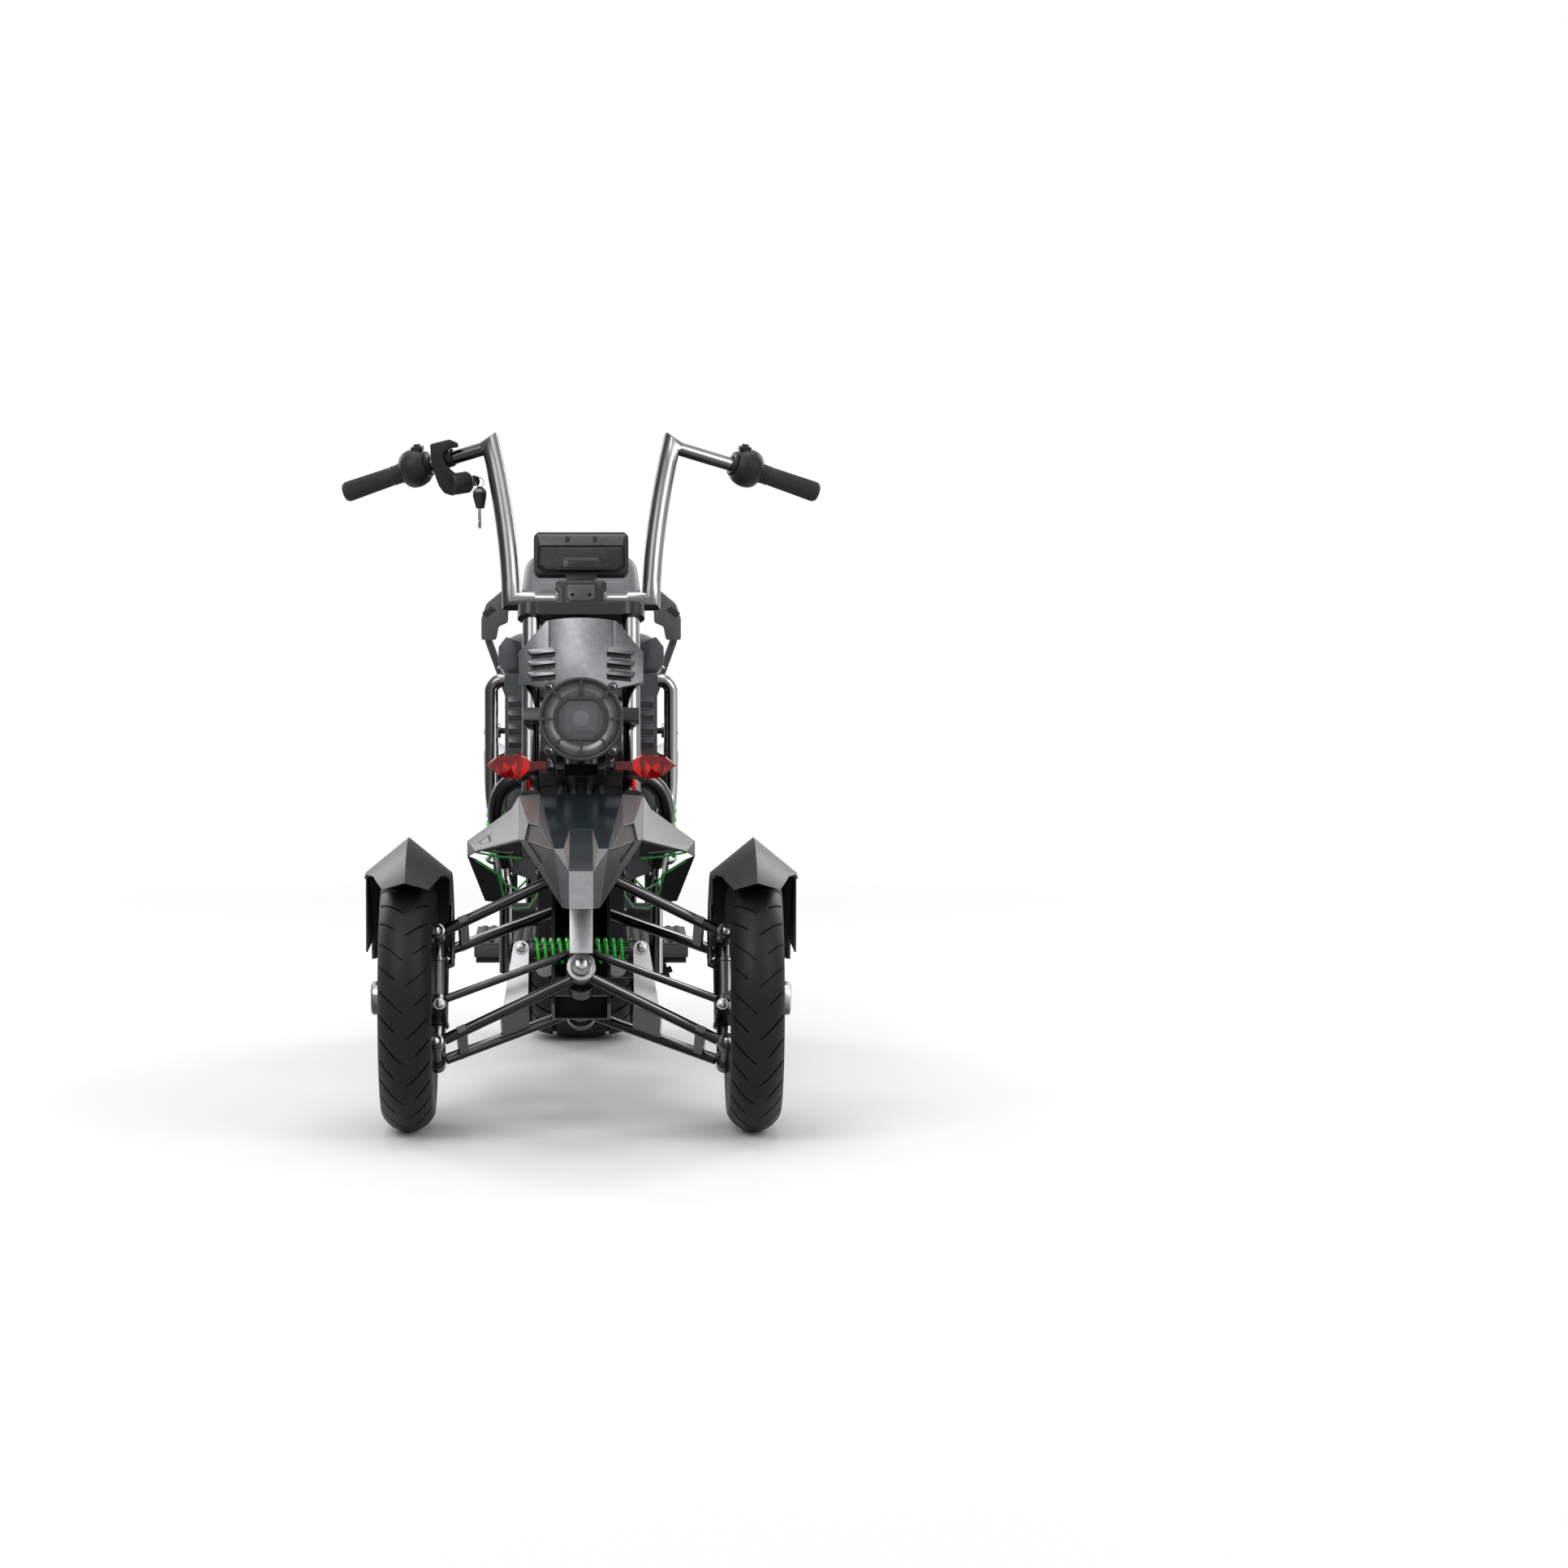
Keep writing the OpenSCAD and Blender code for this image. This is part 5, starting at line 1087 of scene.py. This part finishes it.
for sign in (-1, 1):
    hexBolt(piece, onRake(sign * jointPlan["leverX"], -60.8, jointPlan["leverZ"]), -rakeBack, 9, 8)
    lathe(piece, jointPlan["stud"], faceOnRake(sign * jointPlan["leverX"], -68.5, jointPlan["leverZ"]), 20)
    for height in jointPlan["heights"]:
        joint = faceOnRake(sign * jointPlan["x"], jointPlan["front"], height)
        lathe(piece, ball, joint, 28)
        lathe(piece, jointPlan["cup"], joint, 32, 1)
        lathe(piece, jointPlan["cap"], axisFrame(onRake(sign * jointPlan["x"], jointPlan["back"], height),
            rakeBack), 24, 1)
lathe(piece, jointPlan["flange"], faceOnRake(0, -130.1, 10), 48)
hexBolt(piece, onRake(0, -143.9, 10), -rakeBack, 11, 7)
lathe(piece, jointPlan["head"], faceOnRake(0, -130, 212), 32, 1)
finishPiece("wishbone_fittings", piece, [brightSteel, gunMetal], "chassis", (), 35)
for sideName, sign in sides:
    piece = bmesh.new()
    hexBolt(piece, onRake(sign * 244, -106.6, -48), -rakeBack, 8, 7)
    for collar in jointPlan["collars"]:
        lathe(piece, collar, axisFrame(onRake(sign * jointPlan["x"], 0, 0), rakeUp), 40, 1)
    finishPiece("knuckle_" + sideName + "_bolts", piece, [brightSteel, gunMetal], sideName + "_knuckle", (),
        35)
print("fittings done")

# body panels beside the tank, and leg shield louvres
bodyPlan = {"cheek": [(104, 783), (140, 783), (153, 800), (152, 832), (138, 850), (112, 842), (104, 815)],
    "cheekY": 436, "shieldY": 412, "louvres": 4, "louvreLow": 646, "louvreStep": 25,
    "shield": [(88, 440), (136, 450), (136, 620), (88, 628)],
    "louvre": ((103, 10, 6), (133, 10, 6), (103, 10, -1), (133, 10, -1), (101, 22, 0), (135, 22, 0),
    (103, 9, 0), (133, 9, 0))}
piece = bmesh.new()
plate(piece, bodyPlan["cheek"], 6, frontFace(bodyPlan["cheekY"]), 1.5)
for count in range(bodyPlan["louvres"]):
    low = bodyPlan["louvreLow"] + bodyPlan["louvreStep"] * count
    facets(piece, [at(x, bodyPlan["shieldY"] - lift, low + z) for x, z, lift in bodyPlan["louvre"]], 0.5)
plate(piece, bodyPlan["shield"], 1.6, frontFace(bodyPlan["shieldY"]), 0.5)
bothSides(piece)
finishPiece("body_panels", piece, [bodyGrey], "chassis", (), 24)

# trim lines along the tank, and its filler cap
trimPlan = {"line": [(104, 437, 806), (128, 444, 800), (148, 462, 795), (154.6, 486, 791), (146, 540, 786),
    (137, 620, 780), (131.5, 682, 778)], "cap": [(0, 0), (27, 0), (28, 1.5), (28, 5), (26, 7), (20, 7.6),
    (19, 9.5), (0, 10)], "capPlace": (0, 560, 855.8)}
piece = bmesh.new()
tube(piece, [at(*point) for point in trimPlan["line"]], 1.6, 10)
bothSides(piece)
lathe(piece, trimPlan["cap"], axisFrame(at(*trimPlan["capPlace"]), (0, 0.17, 0.985)), 40)
finishPiece("tank_trim", piece, [brightSteel], "chassis", (), 35)


def rectangle(left, low, right, high):
    return [(left, low), (right, low), (right, high), (left, high)]


# battery sides: a plate, six ribs and four bolts
batteryPlan = {"x": 79, "ribs": 6, "ribLow": 352, "ribStep": 40, "ribTall": 14,
    "bolts": ((478, 340), (792, 340), (478, 590), (792, 590))}
piece = bmesh.new()
side = axisFrame(at(batteryPlan["x"], 0, 0), (1, 0, 0), (0, 1, 0))
plate(piece, rectangle(470, 330, 800, 600), 1.6, side, 0.6)
for count in range(batteryPlan["ribs"]):
    low = batteryPlan["ribLow"] + batteryPlan["ribStep"] * count
    plate(piece, rectangle(490, low, 780, low + batteryPlan["ribTall"]), 4.6, side, 1.5)
for y, z in batteryPlan["bolts"]:
    hexBolt(piece, at(batteryPlan["x"] + 1.4, y, z), (1, 0, 0), 4, 3, 1)
bothSides(piece)
finishPiece("battery_ribs", piece, [batteryBlack, brightSteel], "chassis", (), 30)

# footboards: lengthwise treads and a front strip
boardPlan = {"treads": 6, "treadFrom": 94, "treadStep": 17, "treadWide": 9, "top": 283.1, "front": 430.4}
piece = bmesh.new()
for count in range(boardPlan["treads"]):
    inner = boardPlan["treadFrom"] + boardPlan["treadStep"] * count
    tread = rectangle(inner, 442, inner + boardPlan["treadWide"], 718)
    plate(piece, tread, 3.4, axisFrame(at(0, 0, boardPlan["top"]), (0, 0, 1)), 1.0)
plate(piece, rectangle(88, 262, 196, 279), 2.0, frontFace(boardPlan["front"]), 0.6, 1)
bothSides(piece)
finishPiece("footboard_treads", piece, [gripRubber, grabGrey], "chassis", (), 30)

# bolts at both ends of the rear shocks
piece = bmesh.new()
for sign in (-1, 1):
    for y, z in ((1250, 330), (1060, 640)):
        hexBolt(piece, at(sign * 187, y, z), (sign, 0, 0), 8, 6)
finishPiece("rear_bolts", piece, [brightSteel], "chassis", (), 30)
print("body details done")


# seat, backrest and tank: remeshed copies of the solids; pressure stuffs the two pads between their seams
padPlan = {"voxel": 0.006, "pressure": 4, "frames": 20, "seamDepth": 0.003, "calmRounds": 14}


def applyModifiers(thing):
    now = bpy.data.meshes.new_from_object(thing.evaluated_get(bpy.context.evaluated_depsgraph_get()))
    thing.modifiers.clear()
    thing.data = now
    return now


def remeshedCopy(name, node, shape=None):
    rough = bmesh.new()
    rough.from_mesh(nodes[node].data)
    bmesh.ops.remove_doubles(rough, verts=rough.verts, dist=1e-5)
    if shape:
        for vert in rough.verts:
            vert.co = shape(vert.co)
    mesh = bpy.data.meshes.new(name)
    rough.to_mesh(mesh)
    rough.free()
    thing = show(name, mesh)
    skin = thing.modifiers.new("skin", "REMESH")
    skin.mode = "VOXEL"
    skin.voxel_size = padPlan["voxel"]
    return thing


def standFor(thing, node, material):
    thing.data.materials.clear()
    thing.data.materials.append(material)
    thing.data.shade_smooth()
    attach(thing, "chassis")
    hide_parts(node)


def softPad(name, node, shape, seam, cap, floorZ):
    # cap is the furthest that the stuffing may move a point, floorZ the lowest place for it
    pad = remeshedCopy(name, node, shape)
    mesh = applyModifiers(pad)
    before = [vert.co.copy() for vert in mesh.vertices]
    sewn = pad.vertex_groups.new(name="sewn")
    for vert in mesh.vertices:
        if seam(vert.co) > 0.5:
            sewn.add([vert.index], 1.0, "REPLACE")
    stuffing = pad.modifiers.new("stuffing", "CLOTH")
    stuffing.settings.quality = 5
    stuffing.settings.use_pressure = True
    stuffing.settings.uniform_pressure_force = padPlan["pressure"]
    stuffing.settings.effector_weights.gravity = 0
    stuffing.settings.vertex_group_mass = "sewn"
    stuffing.point_cache.frame_end = padPlan["frames"]
    for frameNumber in range(1, padPlan["frames"] + 1):
        scene.frame_set(frameNumber)
    mesh = applyModifiers(pad)
    scene.frame_set(1)
    normals = [vert.normal.copy() for vert in mesh.vertices]
    for vert, was, normal in zip(mesh.vertices, before, normals):
        move = vert.co - was
        if move.length > cap:
            vert.co = was + move * (cap / move.length)
        vert.co -= normal * (padPlan["seamDepth"] * seam(vert.co))
        vert.co.z = max(vert.co.z, floorZ)
    finer = pad.modifiers.new("finer", "SUBSURF")
    finer.levels = 1
    finer.render_levels = 1
    standFor(pad, node, seatLeather)


def nearLine(value, line, half=0.004):
    return max(0.0, 1.0 - abs(value - line) / half)


seatPlan = {"front": at(0, 772, 718.3), "length": 0.470, "rows": (0.3, 0.44, 0.58, 0.72), "welt": 0.055,
    "topFrom": 0.06, "rail": 0.092}
backPlan = {"front": at(0, 1272, 0).y, "rows": (0.880, 0.908, 0.936), "rail": 0.090, "lean": 0.46,
    "middle": 0.91}


def seatShape(point):
    share = (point.y - seatPlan["front"].y) / seatPlan["length"]
    narrow = 0.70 + 0.28 * min(1.0, max(0.0, share * 1.5)) ** 0.7
    top = (point.z - seatPlan["front"].z) / 0.09
    dip = 0.014 * math.exp(-((share - 0.55) / 0.22) ** 2) * top
    return Vector((point.x * narrow, point.y, point.z - dip))


def seatSeam(point):
    share = (point.y - seatPlan["front"].y) / seatPlan["length"]
    height = point.z - seatPlan["front"].z
    seams = [nearLine(height, seatPlan["welt"])]
    if height > seatPlan["topFrom"] and abs(point.x) < 0.09:
        seams += [nearLine(share * seatPlan["length"], row * seatPlan["length"])
            for row in seatPlan["rows"]]
    if height > seatPlan["topFrom"] and 0.25 < share < 0.8:
        seams.append(nearLine(abs(point.x), seatPlan["rail"]))
    return max(seams)


def backShape(point):
    return Vector((point.x * 0.98, point.y, point.z))


def backSeam(point):
    seams = [nearLine(point.y - (point.z - backPlan["middle"]) * backPlan["lean"],
        backPlan["front"] + 0.012)]
    if point.y < backPlan["front"]:
        seams.append(nearLine(abs(point.x), backPlan["rail"]))
        if abs(point.x) < 0.088:
            seams += [nearLine(point.z, level) for level in backPlan["rows"]]
    return max(seams)


tank = remeshedCopy("tank_smooth", "tank_cover")
calm = tank.modifiers.new("calm", "SMOOTH")
calm.factor = 0.5
calm.iterations = padPlan["calmRounds"]
applyModifiers(tank)
standFor(tank, "tank_cover", bodyGrey)
softPad("seat_stuffed", "seat", seatShape, seatSeam, 0.010, 0.7184)
softPad("backrest_stuffed", "backrest", backShape, backSeam, 0.008, 0.0)
print("seat done")


# floor: pale, with the object's shadow, turning white far out
floorPlan = {"half": 14.0, "tone": (0.80, 0.80, 0.80), "near": 1.6, "far": 4.2}
floorMesh = bmesh.new()
bmesh.ops.create_grid(floorMesh, x_segments=8, y_segments=8, size=floorPlan["half"])
floorData = bpy.data.meshes.new("studioFloor")
floorMesh.to_mesh(floorData)
floorMesh.free()
floor = show("studioFloor", floorData)
floorFinish = finish("studioFloorPaint", floorPlan["tone"], 0.7, grain=60, shade=0.02, spread=0.05,
    bump=0.02)
floorTree = floorFinish.node_tree
floorGlow = floorTree.nodes.new("ShaderNodeEmission")
floorGlow.inputs["Color"].default_value = (1, 1, 1, 1)
floorMix = floorTree.nodes.new("ShaderNodeMixShader")
floorCoords = floorTree.nodes.new("ShaderNodeTexCoord")
floorReach = floorTree.nodes.new("ShaderNodeVectorMath")
floorReach.operation = "LENGTH"
link(floorTree, floorCoords, "Object", floorReach, 0)
floorFade = rangeNode(floorTree, floorReach.outputs["Value"], floorPlan["near"], floorPlan["far"], 0.0, 1.0)
floorShare = mathNode(floorTree, "MULTIPLY", floorFade, whiteToCamera(floorTree).outputs[0])
floorTree.links.new(floorShare, floorMix.inputs[0])
link(floorTree, floorTree.nodes["Principled BSDF"], 0, floorMix, 1)
link(floorTree, floorGlow, 0, floorMix, 2)
link(floorTree, floorMix, 0, floorTree.nodes["Material Output"], "Surface")
floorData.materials.append(floorFinish)

print("scene done")
